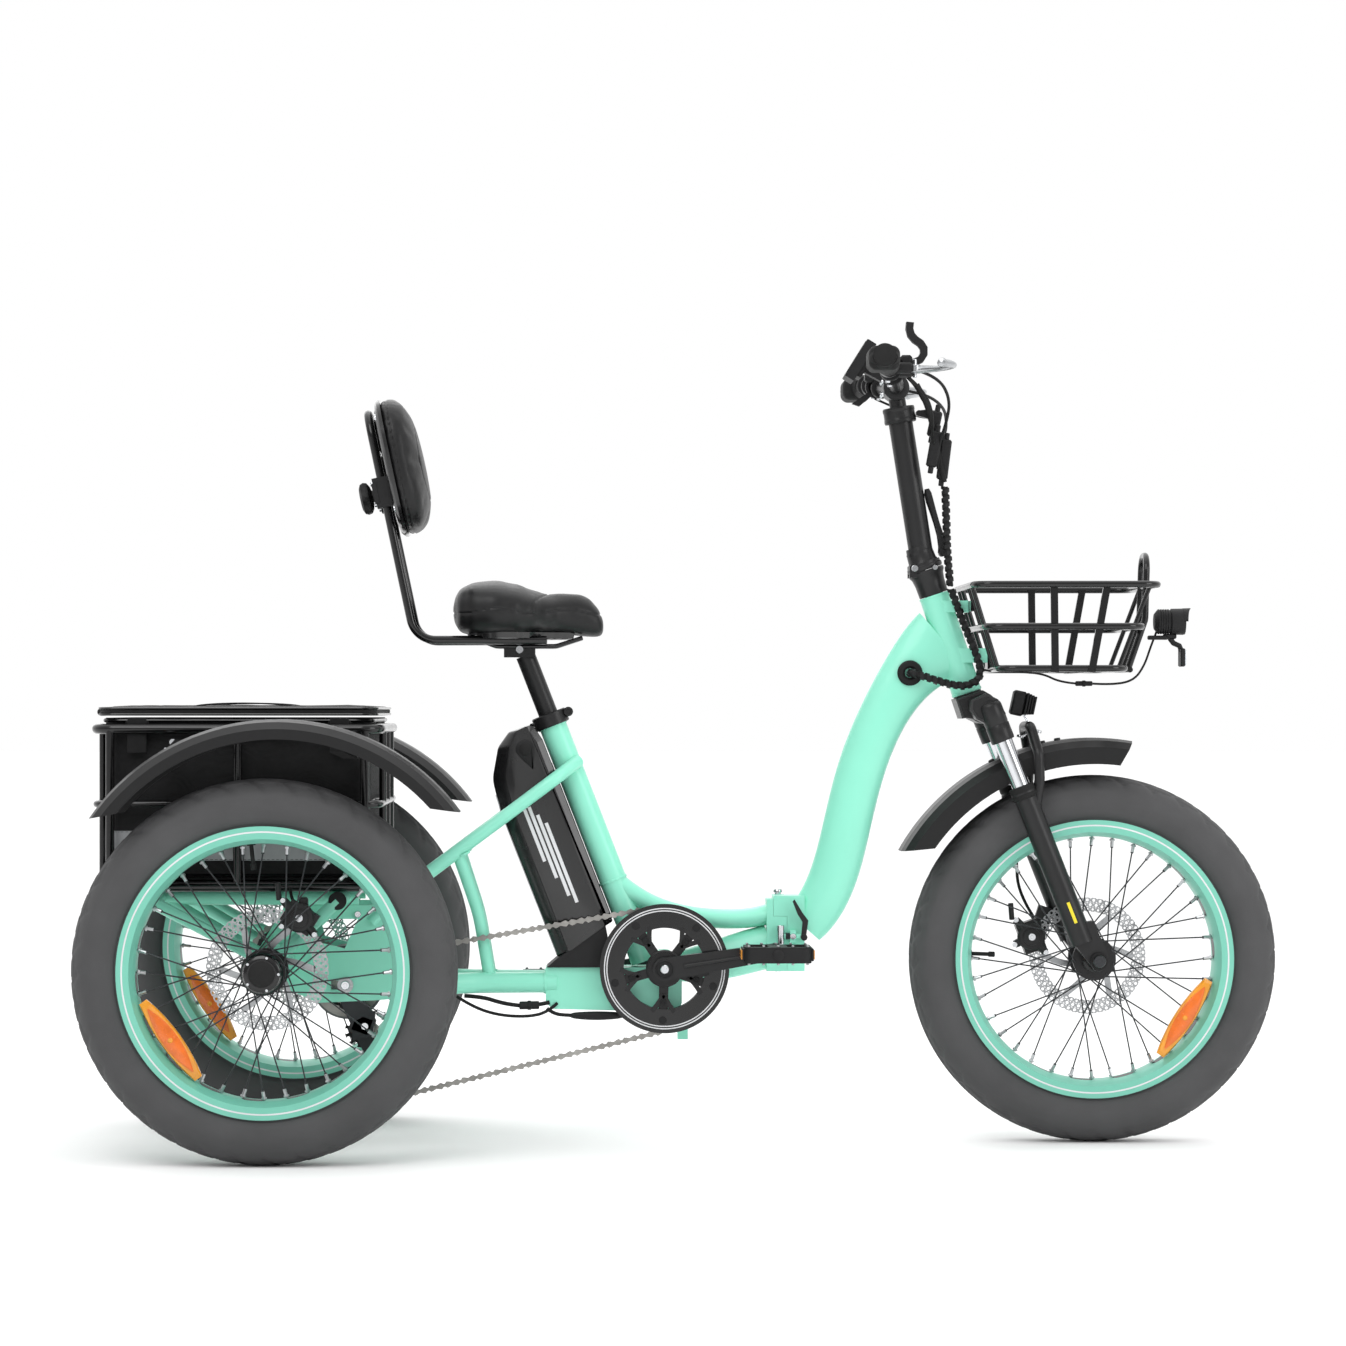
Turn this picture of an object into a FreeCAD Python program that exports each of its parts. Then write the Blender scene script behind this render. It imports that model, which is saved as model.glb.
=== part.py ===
import FreeCAD, Part
import math
import os

# Adult electric tricycle with a folding frame, one front and two rear wheels.
# Millimetres. X points forward, Y to the rider's left, Z up. The origin is on the
# ground, halfway between the axles, in the centre plane.

# ---------------------------------------------------------------- driving dimensions
TYRE_RADIUS = 281.0
TYRE_HALF = 50.0
RIM_RADIUS = 212.5
RIM_HALF = 40.0
RIM_BED = 187.0
AXLE_X = 622.3
TRACK_HALF = 350.0
ROTOR_RADIUS = 90.0
ROTOR_THICK = 2.0
SPOKE_RADIUS = 1.1
SPOKES_PER_GROUP = 9
HUB_RADIUS = 20.0
FLANGE_RADIUS = 33.0
FLANGE_OFFSET = 30.0
FLANGE_THICK = 7.0
SHAFT_RADIUS = 10.0
RUNNING = 0.05
GAP = 0.4

PITCH = 12.7
CHAINRING_TEETH = 46
COG_TEETH = 16
OUTPUT_TEETH = 14
DIFFERENTIAL_TEETH = 24
JOCKEY_TEETH = 11
CHAIN_Y = -48.0
AXLE_CHAIN_Y = 52.0

CRANK_X, CRANK_Z = -35.0, 268.0
CRANK_LENGTH = 170.0
CRANK_RISE = 9.0
GUARD_RADIUS = 98.5
JACK_X, JACK_Z = -518.7, 245.0
MOTOR_RADIUS = 56.0

FOLD_PIN_X, FOLD_PIN_Y = 142.0, 36.0
FOLD_PIN_RADIUS = 5.0
FOLD_LOW, FOLD_STEP, FOLD_HIGH = 262.0, 346.0, 377.0

HEAD_TOP_X, HEAD_TOP_Z = 380.0, 838.0
HEAD_LOW_X, HEAD_LOW_Z = 430.7, 687.5
STEERER_RADIUS = 14.3
LEG_Y = 78.0
LEG_TILT = 21.5
STANCHION_RADIUS = 14.0
LOWER_RADIUS = 17.5

SEAT_TOP_X, SEAT_TOP_Z = -208.0, 644.5
SEAT_TILT = 21.3
SEAT_TUBE_RADIUS = 21.0
CLAMP_DOWN, CLAMP_FORWARD, CLAMP_HINGE_Y = -4.0, 30.0, 20.0
POST_RADIUS = 15.0
SEAT_TUBE_LENGTH = 395.0

STEM_PIN_X, STEM_PIN_Z = 349.0, 878.0
STEM_TOP_X, STEM_TOP_Z = 327.0, 1114.0
STEM_RADIUS = 18.5
MAST_RADIUS = 13.0
BAR_ABOVE_STEM = 41.5
BAR_RADIUS = 11.1


def vec(x, y, z):
    return FreeCAD.Vector(x, y, z)


AXIS_Y = vec(0, 1, 0)
AXIS_Z = vec(0, 0, 1)
FRONT_HUB = vec(AXLE_X, 0, TYRE_RADIUS)
HEAD_TOP = vec(HEAD_TOP_X, 0, HEAD_TOP_Z)
HEAD_LOW = vec(HEAD_LOW_X, 0, HEAD_LOW_Z)
HEAD_DOWN = (HEAD_LOW - HEAD_TOP).normalize()
HEAD_FORWARD = vec(-HEAD_DOWN.z, 0, HEAD_DOWN.x)
LEG_DOWN = vec(math.sin(math.radians(LEG_TILT)), 0, -math.cos(math.radians(LEG_TILT)))
SEAT_TOP = vec(SEAT_TOP_X, 0, SEAT_TOP_Z)
SEAT_DOWN = vec(math.sin(math.radians(SEAT_TILT)), 0, -math.cos(math.radians(SEAT_TILT)))
SEAT_REAR = vec(SEAT_DOWN.z, 0, -SEAT_DOWN.x)
STEM_TOP = vec(STEM_TOP_X, 0, STEM_TOP_Z)
STEM_DOWN = (vec(STEM_PIN_X + 15, 0, STEM_PIN_Z) - STEM_TOP).normalize()
BAR_CENTRE = STEM_TOP - STEM_DOWN * BAR_ABOVE_STEM
BAR_X, BAR_Z = BAR_CENTRE.x, BAR_CENTRE.z


# ---------------------------------------------------------------- basic shapes
def rod(start, end, radius):
    axis = end - start
    return Part.makeCylinder(radius, axis.Length, start, axis)


def pipe(start, end, outer, inner):
    return rod(start, end, outer).cut(rod(start, end, inner))


def block(x0, x1, y0, y1, z0, z1):
    return Part.makeBox(x1 - x0, y1 - y0, z1 - z0, vec(x0, y0, z0))


def prism(outline, y0, y1):
    points = [vec(x, y0, z) for x, z in outline]
    face = Part.Face(Part.makePolygon(points + points[:1]))
    return face.extrude(vec(0, y1 - y0, 0))


def weld(shapes):
    if len(shapes) == 1:
        return shapes[0]
    return shapes[0].multiFuse(shapes[1:]).removeSplitter()


def route(points, bend):
    """Straight runs joined by tangent arcs, as a wire."""
    edges = []
    here = points[0]
    for before, corner, after in zip(points, points[1:], points[2:]):
        arrive = corner - before
        leave = after - corner
        shorter = min(arrive.Length, leave.Length)
        half_turn = arrive.getAngle(leave) / 2
        arrive.normalize()
        leave.normalize()
        setback = min(bend * math.tan(half_turn), 0.45 * shorter)
        radius = setback / math.tan(half_turn)
        centre = corner + (leave - arrive).normalize() * (radius / math.cos(half_turn))
        middle = centre - (centre - corner).normalize() * radius
        start = corner - arrive * setback
        end = corner + leave * setback
        edges.append(Part.LineSegment(here, start).toShape())
        edges.append(Part.Arc(start, middle, end).toShape())
        here = end
    edges.append(Part.LineSegment(here, points[-1]).toShape())
    return Part.Wire(edges)


def bent_rod(points, radius, bend=30.0):
    path = route(points, bend)
    circle = Part.Wire(Part.makeCircle(radius, points[0], points[1] - points[0]))
    return path.makePipeShell([circle], True, False)


def loop_rod(corners, radius, bend):
    """A closed four-cornered rail, made as two halves welded end to end."""
    start = (corners[0] + corners[3]) * 0.5
    end = (corners[1] + corners[2]) * 0.5
    first = bent_rod([start, corners[0], corners[1], end], radius, bend)
    second = bent_rod([end, corners[2], corners[3], start], radius, bend)
    return weld([first, second])


def oval_tube(stations):
    """A tube of oval section through (x, z, depth, width) stations in the centre plane."""
    centres = [vec(x, 0, z) for x, z, _, _ in stations]
    wires = []
    for index, (_, _, depth, width) in enumerate(stations):
        before = centres[max(index - 1, 0)]
        after = centres[min(index + 1, len(centres) - 1)]
        along = (after - before).normalize()
        across = vec(-along.z, 0, along.x)
        long_end = centres[index] + across * (depth / 2)
        short_end = centres[index] + AXIS_Y * (width / 2)
        if depth < width:
            long_end, short_end = short_end, long_end
        ellipse = Part.Ellipse(long_end, short_end, centres[index])
        wires.append(Part.Wire(ellipse.toShape()))
    return Part.makeLoft(wires, True, False)


def turned(centre, outline):
    """Turn a closed (radius, across) outline about an axis along Y."""
    points = [centre + vec(r, y, 0) for r, y in outline]
    face = Part.Face(Part.makePolygon(points + points[:1]))
    return face.revolve(centre, AXIS_Y, 360)


def disc(x, z, y0, y1, radius, hole=0.0):
    solid = rod(vec(x, y0, z), vec(x, y1, z), radius)
    if hole:
        solid = solid.cut(rod(vec(x, y0 - 1, z), vec(x, y1 + 1, z), hole))
    return solid


def pitch_radius(teeth):
    return PITCH / (2 * math.sin(math.pi / teeth))


def save(name, shape):
    if isinstance(shape, list):
        shape = Part.makeCompound(shape)
    shape.exportStep("parts/" + name + ".step")
    volumes = [round(solid.Volume / 1000, 1) for solid in shape.Solids]
    print(name, "valid" if shape.isValid() else "INVALID", len(volumes), "solids", sum(volumes))


# ---------------------------------------------------------------- wheels
def make_tyre(hub):
    def at(radius, across):
        return hub + vec(radius, across, 0)

    edges = [
        Part.LineSegment(at(204, -36), at(214, -36)).toShape(),
        Part.Arc(at(214, -36), at(243, -TYRE_HALF), at(268, -38)).toShape(),
        Part.Arc(at(268, -38), at(TYRE_RADIUS, 0), at(268, 38)).toShape(),
        Part.Arc(at(268, 38), at(243, TYRE_HALF), at(214, 36)).toShape(),
        Part.LineSegment(at(214, 36), at(204, 36)).toShape(),
        Part.LineSegment(at(204, 36), at(204, 31)).toShape(),
        Part.LineSegment(at(204, 31), at(214, 31)).toShape(),
        Part.Arc(at(214, 31), at(243, TYRE_HALF - 4), at(265, 34)).toShape(),
        Part.Arc(at(265, 34), at(TYRE_RADIUS - 6, 0), at(265, -34)).toShape(),
        Part.Arc(at(265, -34), at(243, 4 - TYRE_HALF), at(214, -31)).toShape(),
        Part.LineSegment(at(214, -31), at(204, -31)).toShape(),
        Part.LineSegment(at(204, -31), at(204, -36)).toShape(),
    ]
    return Part.Face(Part.Wire(edges)).revolve(hub, AXIS_Y, 360)


def make_rim(hub):
    lip = RIM_HALF - 3
    outline = [(RIM_RADIUS, -RIM_HALF), (RIM_RADIUS, -lip), (203, -lip), (197, -30), (197, 30),
               (203, lip), (RIM_RADIUS, lip), (RIM_RADIUS, RIM_HALF), (194, RIM_HALF),
               (RIM_BED, 22), (RIM_BED, -22), (194, -RIM_HALF)]
    return turned(hub, outline)


def make_spokes(hub):
    """Thirty-six crossed spokes, each with its nipple at the rim."""
    made = []
    step = 360 / SPOKES_PER_GROUP
    for side, shift in ((1, 0), (-1, 10)):
        for lean in (1, -1):
            hub_angle = shift + (0 if lean > 0 else step / 2)
            rim_angle = hub_angle + lean * 1.5 * step
            across = side * (FLANGE_OFFSET + lean * FLANGE_THICK / 2)
            inner = polar(hub, 29, across, hub_angle)
            outer = polar(hub, RIM_BED - 1.5, side * 6, rim_angle)
            along = (outer - inner).normalize()
            spoke = weld([rod(inner, outer, SPOKE_RADIUS), rod(outer - along * 14, outer, 2.3)])
            for index in range(SPOKES_PER_GROUP):
                copy = spoke.copy()
                copy.rotate(hub, AXIS_Y, index * step)
                made.append(copy)
    return made


def polar(hub, radius, across, degrees):
    angle = math.radians(degrees)
    return hub + vec(radius * math.cos(angle), across, -radius * math.sin(angle))


def make_rotor(hub, y0):
    """Brake disc: a drilled ring held by six arms."""
    ring = disc(hub.x, hub.z, y0, y0 + ROTOR_THICK, ROTOR_RADIUS, 72)
    centre = disc(hub.x, hub.z, y0, y0 + ROTOR_THICK, 26, 12)
    arm = block(hub.x + 22, hub.x + 75, y0, y0 + ROTOR_THICK, hub.z - 5, hub.z + 5)
    arms = []
    holes = []
    for index in range(6):
        copy = arm.copy()
        copy.rotate(hub, AXIS_Y, 60 * index)
        arms.append(copy)
    for index in range(24):
        spot = polar(hub, 77 if index % 2 else 84, 0, 15 * index)
        holes.append(disc(spot.x, spot.z, y0 - 1, y0 + ROTOR_THICK + 1, 2.6))
    return weld([ring, centre] + arms).cut(Part.makeCompound(holes))


def make_hub_shell(hub, rotor_side):
    """Hub shell with spoke flanges and a seat for the rotor on one side."""
    seat_end = rotor_side * 55.0
    y_low, y_high = sorted((seat_end, -rotor_side * 48.0))
    parts = [disc(hub.x, hub.z, hub.y + y_low, hub.y + y_high, HUB_RADIUS)]
    for side in (1, -1):
        middle = hub.y + side * FLANGE_OFFSET
        parts.append(disc(hub.x, hub.z, middle - FLANGE_THICK / 2, middle + FLANGE_THICK / 2,
                          FLANGE_RADIUS))
    return weld(parts)


def make_rear_wheel(side):
    """side is 1 for the left wheel and -1 for the right."""
    name = "left" if side > 0 else "right"
    hub = vec(-AXLE_X, side * TRACK_HALF, TYRE_RADIUS)
    save("tyre_" + name, make_tyre(hub))
    save("rim_" + name, [make_rim(hub)] + make_spokes(hub))
    shell = make_hub_shell(hub, -side)
    shaft = rod(hub + vec(0, side * 58, 0), vec(hub.x, side * 17, hub.z), SHAFT_RADIUS)
    shell = shell.cut(shaft)
    seat = hub.y - side * 55
    rotor = make_rotor(hub, min(seat, seat - side * ROTOR_THICK))
    save("hub_" + name, [shell, shaft, rotor])


def make_front_wheel():
    save("tyre_front", make_tyre(FRONT_HUB))
    save("rim_front", [make_rim(FRONT_HUB)] + make_spokes(FRONT_HUB))
    shell = make_hub_shell(FRONT_HUB, 1)
    shell = shell.cut(rod(FRONT_HUB - AXIS_Y * 90, FRONT_HUB + AXIS_Y * 90, 6 + RUNNING))
    save("hub_front", [shell, make_rotor(FRONT_HUB, 55)])


# ---------------------------------------------------------------- rear frame
def seat_point(down, rear, y=0.0):
    return SEAT_TOP + SEAT_DOWN * down + SEAT_REAR * rear + AXIS_Y * y


def make_dropout(side):
    """Side plate that carries the rear axle and the slotted jackshaft axle."""
    outline = [(-650, 300), (-610, 366), (-440, 366), (-396, 262), (-396, 228), (-470, 222),
               (-560, 218), (-650, 258)]
    y0, y1 = sorted((side * 84, side * 91))
    plate = prism(outline, y0, y1)
    axle_hole = disc(-AXLE_X, TYRE_RADIUS, y0 - 1, y1 + 1, 14)
    slot = block(JACK_X - 22, JACK_X, y0 - 1, y1 + 1, JACK_Z - 7, JACK_Z + 7)
    slot_end = disc(JACK_X, JACK_Z, y0 - 1, y1 + 1, 7)
    window = prism([(-570, 345), (-500, 345), (-520, 300), (-560, 310)], y0 - 1, y1 + 1)
    return plate.cut(axle_hole).cut(slot).cut(slot_end).cut(window)


def make_rear_frame():
    shell_centre = vec(CRANK_X, 0, CRANK_Z)
    parts = [rod(SEAT_TOP, seat_point(SEAT_TUBE_LENGTH, 0), SEAT_TUBE_RADIUS)]
    parts.append(rod(SEAT_TOP - SEAT_DOWN * 12, seat_point(8, 0), SEAT_TUBE_RADIUS + 4.5))
    clamp_barrel = seat_point(CLAMP_DOWN, -CLAMP_FORWARD)
    parts.append(rod(clamp_barrel - AXIS_Y * 15, clamp_barrel + AXIS_Y * 15, 7))
    parts.append(rod(shell_centre - AXIS_Y * 38, shell_centre + AXIS_Y * 38, 24))
    parts.append(oval_tube([(-125, 412, 30, 34), (-84, 380, 30, 38), (-40, 357, 30, 42),
                            (20, 343, 30, 46), (82, 341, 30, 48), (128, 349, 32, 50)]))
    parts.append(oval_tube([(-30, 268, 40, 44), (20, 272, 56, 46), (64, 282, 64, 48),
                            (128, 299, 66, 50)]))
    parts.append(block(122, 132, -26, 26, FOLD_LOW, 372))
    parts.append(block(122, 153, -26, 26, FOLD_LOW, FOLD_STEP))
    parts.append(block(134, 150, 20, FOLD_PIN_Y, FOLD_LOW, FOLD_STEP))
    pin_low = vec(FOLD_PIN_X, FOLD_PIN_Y, FOLD_LOW)
    parts.append(rod(pin_low, vec(FOLD_PIN_X, FOLD_PIN_Y, FOLD_STEP), 9.5))
    parts.append(block(-14, 2, -4, 4, 156, 204))
    parts.append(prism([(-216, 268), (-216, 214), (-205, 205), (-14, 200), (-8, 214), (-8, 250),
                        (-60, 268)], -36, 36))
    for side in (1, -1):
        parts.append(bent_rod([vec(-200, side * 24, 245), vec(-310, side * 34, 245),
                               vec(-420, side * 82, 245)], 16, 120))
        parts.append(bent_rod([vec(-167, side * 14, 583), vec(-200, side * 60, 558),
                               vec(-390, side * 64, 416), vec(-450, side * 84, 371),
                               vec(-480, side * 86, 340)], 10, 50))
        parts.append(bent_rod([vec(-350, side * 60, 446), vec(-318, side * 33, 350),
                               vec(-301, side * 30, 250)], 9.5, 160))
        parts.append(make_dropout(side))
    frame = weld(parts)
    frame = frame.cut(rod(SEAT_TOP - SEAT_DOWN * 13, seat_point(290, 0), POST_RADIUS + RUNNING))
    frame = frame.cut(rod(shell_centre - AXIS_Y * 39, shell_centre + AXIS_Y * 39, 20))
    frame = frame.cut(rod(pin_low, vec(FOLD_PIN_X, FOLD_PIN_Y, FOLD_STEP), FOLD_PIN_RADIUS))
    frame = frame.cut(block(-206, -66, -33, 33, 190, 255))
    save("rear_frame", frame)
    cover = block(-206, -66, -33, 33, 206, 209)
    save("controller", [block(-190, -84, -26, 26, 211, 249), cover])
    pin = rod(pin_low - AXIS_Z * 4, vec(FOLD_PIN_X, FOLD_PIN_Y, FOLD_HIGH + 3), FOLD_PIN_RADIUS)
    barrel = rod(vec(143, -35, 306), vec(143, -35, 330), 5)
    post = rod(vec(143, -35, 318), vec(143, -26, 318), 4)
    save("fold_pins", [pin, weld([barrel, post])])


def make_axle_carrier():
    """Rack platform and axle bearing housings behind the side plates."""
    tube = 12.5
    level = 379.5
    parts = []
    for x in (-800, -522):
        parts.append(rod(vec(x, -252, level), vec(x, 252, level), tube))
    for side in (1, -1):
        y = side * 104
        parts.append(rod(vec(-818, y, level), vec(-498, y, level), tube))
        wide = side * 246
        parts.append(rod(vec(-800, wide, level), vec(-640, wide, 296), 9.5))
        parts.append(rod(vec(-522, wide, level), vec(-606, wide, 300), 9.5))
        parts.append(rod(vec(-796, y, level), vec(-645, y, 292), 9.5))
        parts.append(disc(-AXLE_X, TYRE_RADIUS, *sorted((side * 232, side * 260)), 27))
        parts.append(disc(-AXLE_X, TYRE_RADIUS, *sorted((side * 92, side * 116)), 27))
    carrier = weld(parts)
    bore = rod(vec(-AXLE_X, -270, TYRE_RADIUS), vec(-AXLE_X, 270, TYRE_RADIUS), 19)
    save("axle_carrier", carrier.cut(bore))
    rings = []
    for centre in (246, 104, -104, -246):
        rings.append(disc(-AXLE_X, TYRE_RADIUS, centre - 6, centre + 6, 19, SHAFT_RADIUS + RUNNING))
    for centre in (31, -31):
        rings.append(disc(CRANK_X, CRANK_Z, centre - 5, centre + 5, 20, 8.5 + RUNNING))
    axle = rod(vec(JACK_X, -101, JACK_Z), vec(JACK_X, 101, JACK_Z), 7)
    nuts = [disc(JACK_X, JACK_Z, *sorted((side * 92, side * 99)), 12, 7) for side in (1, -1)]
    save("axles_and_bearings", rings + [axle] + nuts)


def rounded_prism(outline, y0, y1, radius):
    """A prism whose long edges, along the outline on both sides, are rounded."""
    solid = prism(outline, y0, y1)
    edges = [e for e in solid.Edges if abs(e.Vertexes[0].Y - e.Vertexes[-1].Y) < 1e-6]
    return solid.makeFillet(radius, edges)


def make_battery():
    """Battery pack in its own housing, and the dock that it slides out of."""
    local = [(22, 22.5), (-6, 29), (-8, 66), (6, 88), (52, 116), (92, 122), (340, 122), (318, 22.5)]
    corners = [seat_point(down, rear) for down, rear in local]
    hull = rounded_prism([(p.x, p.z) for p in corners], -45, 45, 8)
    channel = [seat_point(*spot) for spot in ((-20, 10), (-20, 36.5), (345, 36.5), (345, 10))]
    hull = hull.cut(prism([(p.x, p.z) for p in channel], -38.5, 38.5))
    save("battery", hull)
    rail = [seat_point(*spot) for spot in ((60, 22), (60, 36), (315, 36), (315, 22))]
    plate = prism([(p.x, p.z) for p in rail], -14, 14)
    base = [seat_point(*spot) for spot in ((321.8, 36), (340.8, 122))]
    low = [(base[0].x, base[0].z), (base[1].x, base[1].z), (-214, 269), (-112, 269)]
    save("battery_dock", [plate, prism(low, -43, 43)])


def make_seat_clamp():
    """Quick lever that wraps round the far side of the seat collar to the rear."""
    hinge = seat_point(CLAMP_DOWN, -CLAMP_FORWARD, CLAMP_HINGE_Y)
    lever = rod(hinge - SEAT_DOWN * 5, hinge + SEAT_DOWN * 5, 4)
    blade = bent_rod([hinge, seat_point(CLAMP_DOWN, -8, 33.5), seat_point(CLAMP_DOWN, 17, 31),
                      seat_point(CLAMP_DOWN, 31, 17)], 3.5, 12)
    save("seat_clamp_lever", weld([lever, blade]))


def make_seat_post():
    save("seat_post", rod(seat_point(-108, 0), seat_point(150, 0), POST_RADIUS))


BACK_TUBE = 6.5
BACK_HALF = 75.0
BACK_FOOT = vec(-414, 0, 768)
BACK_TOP = vec(-487, 0, 1113)
BACK_UP = (BACK_TOP - BACK_FOOT).normalize()
BACK_FORWARD = vec(BACK_UP.z, 0, -BACK_UP.x)


def back_point(up, forward, y=0.0):
    """A point given along the backrest tubes and forward of them."""
    return BACK_FOOT + BACK_UP * up + BACK_FORWARD * forward + AXIS_Y * y


def back_block(up0, up1, forward0, forward1, y0, y1):
    """A block square to the backrest tubes."""
    ends = [back_point(up0, forward0), back_point(up1, forward0),
            back_point(up1, forward1), back_point(up0, forward1)]
    return prism([(p.x, p.z) for p in ends], y0, y1)


def make_saddle_frame():
    """Saddle rails with their clamp, and the tubes that carry the backrest."""
    clamp = block(-280, -232, -21, 21, 742, 765)
    clamp = clamp.cut(rod(seat_point(-108, 0), seat_point(-60, 0), POST_RADIUS))
    parts = [clamp]
    for side in (1, -1):
        parts.append(bent_rod([vec(-325, side * 30, 772), vec(-292, side * 22, 759),
                               vec(-200, side * 22, 759), vec(-160, side * 14, 772)], 3.5, 25))
    parts.append(rod(vec(-225, -46, 768), vec(-225, 46, 768), 5))
    loop = [vec(-215, 44, 768), BACK_FOOT + AXIS_Y * BACK_HALF, BACK_TOP + AXIS_Y * BACK_HALF]
    loop += [vec(p.x, -p.y, p.z) for p in reversed(loop)]
    parts.append(bent_rod(loop, BACK_TUBE, 38))
    bar = back_point(294, 0)
    parts.append(rod(bar - AXIS_Y * BACK_HALF, bar + AXIS_Y * BACK_HALF, 5))
    save("saddle_frame", weld(parts))


def make_saddle():
    half = [(-356, 0), (-356, 62), (-330, 104), (-290, 116), (-248, 98), (-205, 56), (-160, 38),
            (-134, 30), (-126, 0)]
    points = [vec(x, y, 779) for x, y in half]
    points += [vec(x, -y, 779) for x, y in reversed(half[1:-1])]
    curve = Part.BSplineCurve()
    curve.interpolate(points, PeriodicFlag=True)
    face = Part.Face(Part.Wire(curve.toShape()))
    save("saddle", face.extrude(vec(0, 0, 66)))


def make_backrest():
    pad = back_block(166, 374, 10, 66, -128, 128)
    pad = pad.makeFillet(20, pad.Edges)
    parts = [back_block(214, 244, -16, -9, -90, 90)]
    for side in (1, -1):
        middle = side * BACK_HALF
        parts.append(back_block(206, 252, -14, 9.6, middle - 13, middle + 13))
    bracket = weld(parts)
    for side in (1, -1):
        bore = rod(back_point(190, 0, side * BACK_HALF), back_point(270, 0, side * BACK_HALF),
                   BACK_TUBE + RUNNING)
        bracket = bracket.cut(bore)
    save("backrest_cushion", [pad, bracket])
    knob = rod(back_point(229, -16.4), back_point(229, -40), 17)
    save("backrest_knob", knob.cut(rod(back_point(229, -36), back_point(229, -41), 9)))


# ---------------------------------------------------------------- fenders, basket, bag
FENDER_RADIUS = 328.0
FENDER_X, FENDER_Z = -AXLE_X + 19.6, TYRE_RADIUS + 39.0
FENDER_HALF = 62.0
FRONT_FENDER_RADIUS = 338.0


def make_fender(centre, radius, half, skirt, tips, corners):
    """Channel fender: tips are the outer end angles, corners the skirt's end angles."""
    wall = 3.0
    outline = [(radius - skirt, -half), (radius - 14, -half), (radius - 4, 12 - half),
               (radius, 28 - half), (radius, half - 28), (radius - 4, half - 12),
               (radius - 14, half), (radius - skirt, half), (radius - skirt, half - wall),
               (radius - 15, half - wall), (radius - 6, half - 14), (radius - wall, half - 29),
               (radius - wall, 29 - half), (radius - 6, 14 - half), (radius - 15, wall - half),
               (radius - skirt, wall - half)]
    shell = turned(centre, outline)

    def spot(distance, degrees):
        angle = math.radians(degrees)
        return vec(centre.x + distance * math.cos(angle), centre.y - half - 5,
                   centre.z + distance * math.sin(angle))

    middle = (tips[0] + tips[1]) / 2
    reach = radius / math.cos(math.radians((tips[1] - tips[0]) / 4)) + 30
    quarter = (tips[1] - tips[0]) / 4
    points = [spot(radius - skirt - 2, corners[1]), spot(radius + 1, tips[1]),
              spot(reach, tips[1] - quarter * 0.6), spot(reach, middle),
              spot(reach, tips[0] + quarter * 0.6), spot(radius + 1, tips[0]),
              spot(radius - skirt - 2, corners[0]), spot((radius - skirt) * 0.5, middle)]
    cutter = Part.Face(Part.makePolygon(points + points[:1])).extrude(vec(0, 2 * half + 10, 0))
    return shell.common(cutter)


def make_rear_fenders():
    fenders = []
    stays = []
    for side in (1, -1):
        centre = vec(FENDER_X, side * TRACK_HALF, FENDER_Z)
        fenders.append(make_fender(centre, FENDER_RADIUS, FENDER_HALF, 29, (36, 146), (42.3, 139.6)))
        inner = side * (TRACK_HALF - FENDER_HALF)
        for foot, head in (((-773, 590), (-748, 640)), ((-500, 590), (-522, 622))):
            y0, y1 = sorted((inner - side * 0.2, inner - side * 4))
            strap = prism([(foot[0] - 11, foot[1]), (foot[0] + 11, foot[1]),
                           (head[0] + 11, head[1] - 22), (head[0] - 11, head[1] - 22)], y0, y1)
            foot_y0, foot_y1 = sorted((inner - side * 4, side * 243))
            foot_block = block(foot[0] - 9, foot[0] + 9, foot_y0, foot_y1, foot[1], foot[1] + 12)
            stays.append(weld([strap, foot_block]))
    save("rear_fenders", fenders + stays)


BASKET_TUBE = 7.5
BASKET_REAR, BASKET_FRONT = -881.5, -460.5
BASKET_HALF = 235.0
BASKET_LOW, BASKET_HIGH = 400.0, 633.5


def rail(x0, x1, half, z, radius, bend=28.0):
    corners = [vec(x0, -half, z), vec(x1, -half, z), vec(x1, half, z), vec(x0, half, z)]
    return loop_rod(corners, radius, bend)


def make_rear_basket():
    parts = []
    middle = (BASKET_LOW + BASKET_HIGH) / 2 + 5
    for z in (BASKET_LOW, BASKET_HIGH):
        parts.append(rail(BASKET_REAR, BASKET_FRONT, BASKET_HALF, z, BASKET_TUBE))
    parts.append(rail(BASKET_REAR, BASKET_FRONT, BASKET_HALF, middle, 5.5))
    for x in (BASKET_REAR + 22, BASKET_FRONT - 22, -671):
        for y in (-BASKET_HALF, BASKET_HALF):
            parts.append(rod(vec(x, y, BASKET_LOW), vec(x, y, BASKET_HIGH), 6.5))
    for x in (BASKET_REAR, BASKET_FRONT):
        for y in (-130, 0, 130):
            parts.append(rod(vec(x, y, BASKET_LOW), vec(x, y, BASKET_HIGH), 5.5))
    for y in (-150, -75, 0, 75, 150):
        parts.append(rod(vec(BASKET_REAR, y, BASKET_LOW), vec(BASKET_FRONT, y, BASKET_LOW), 4.5))
    save("rear_basket", weld(parts))


BAG_REAR, BAG_FRONT, BAG_HALF = -871.0, -471.0, 224.0
BAG_LOW, BAG_HIGH = 409.5, 652.0


def upright_edges(solid):
    return [e for e in solid.Edges if abs(e.Vertexes[0].Z - e.Vertexes[-1].Z) > 1]


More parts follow.
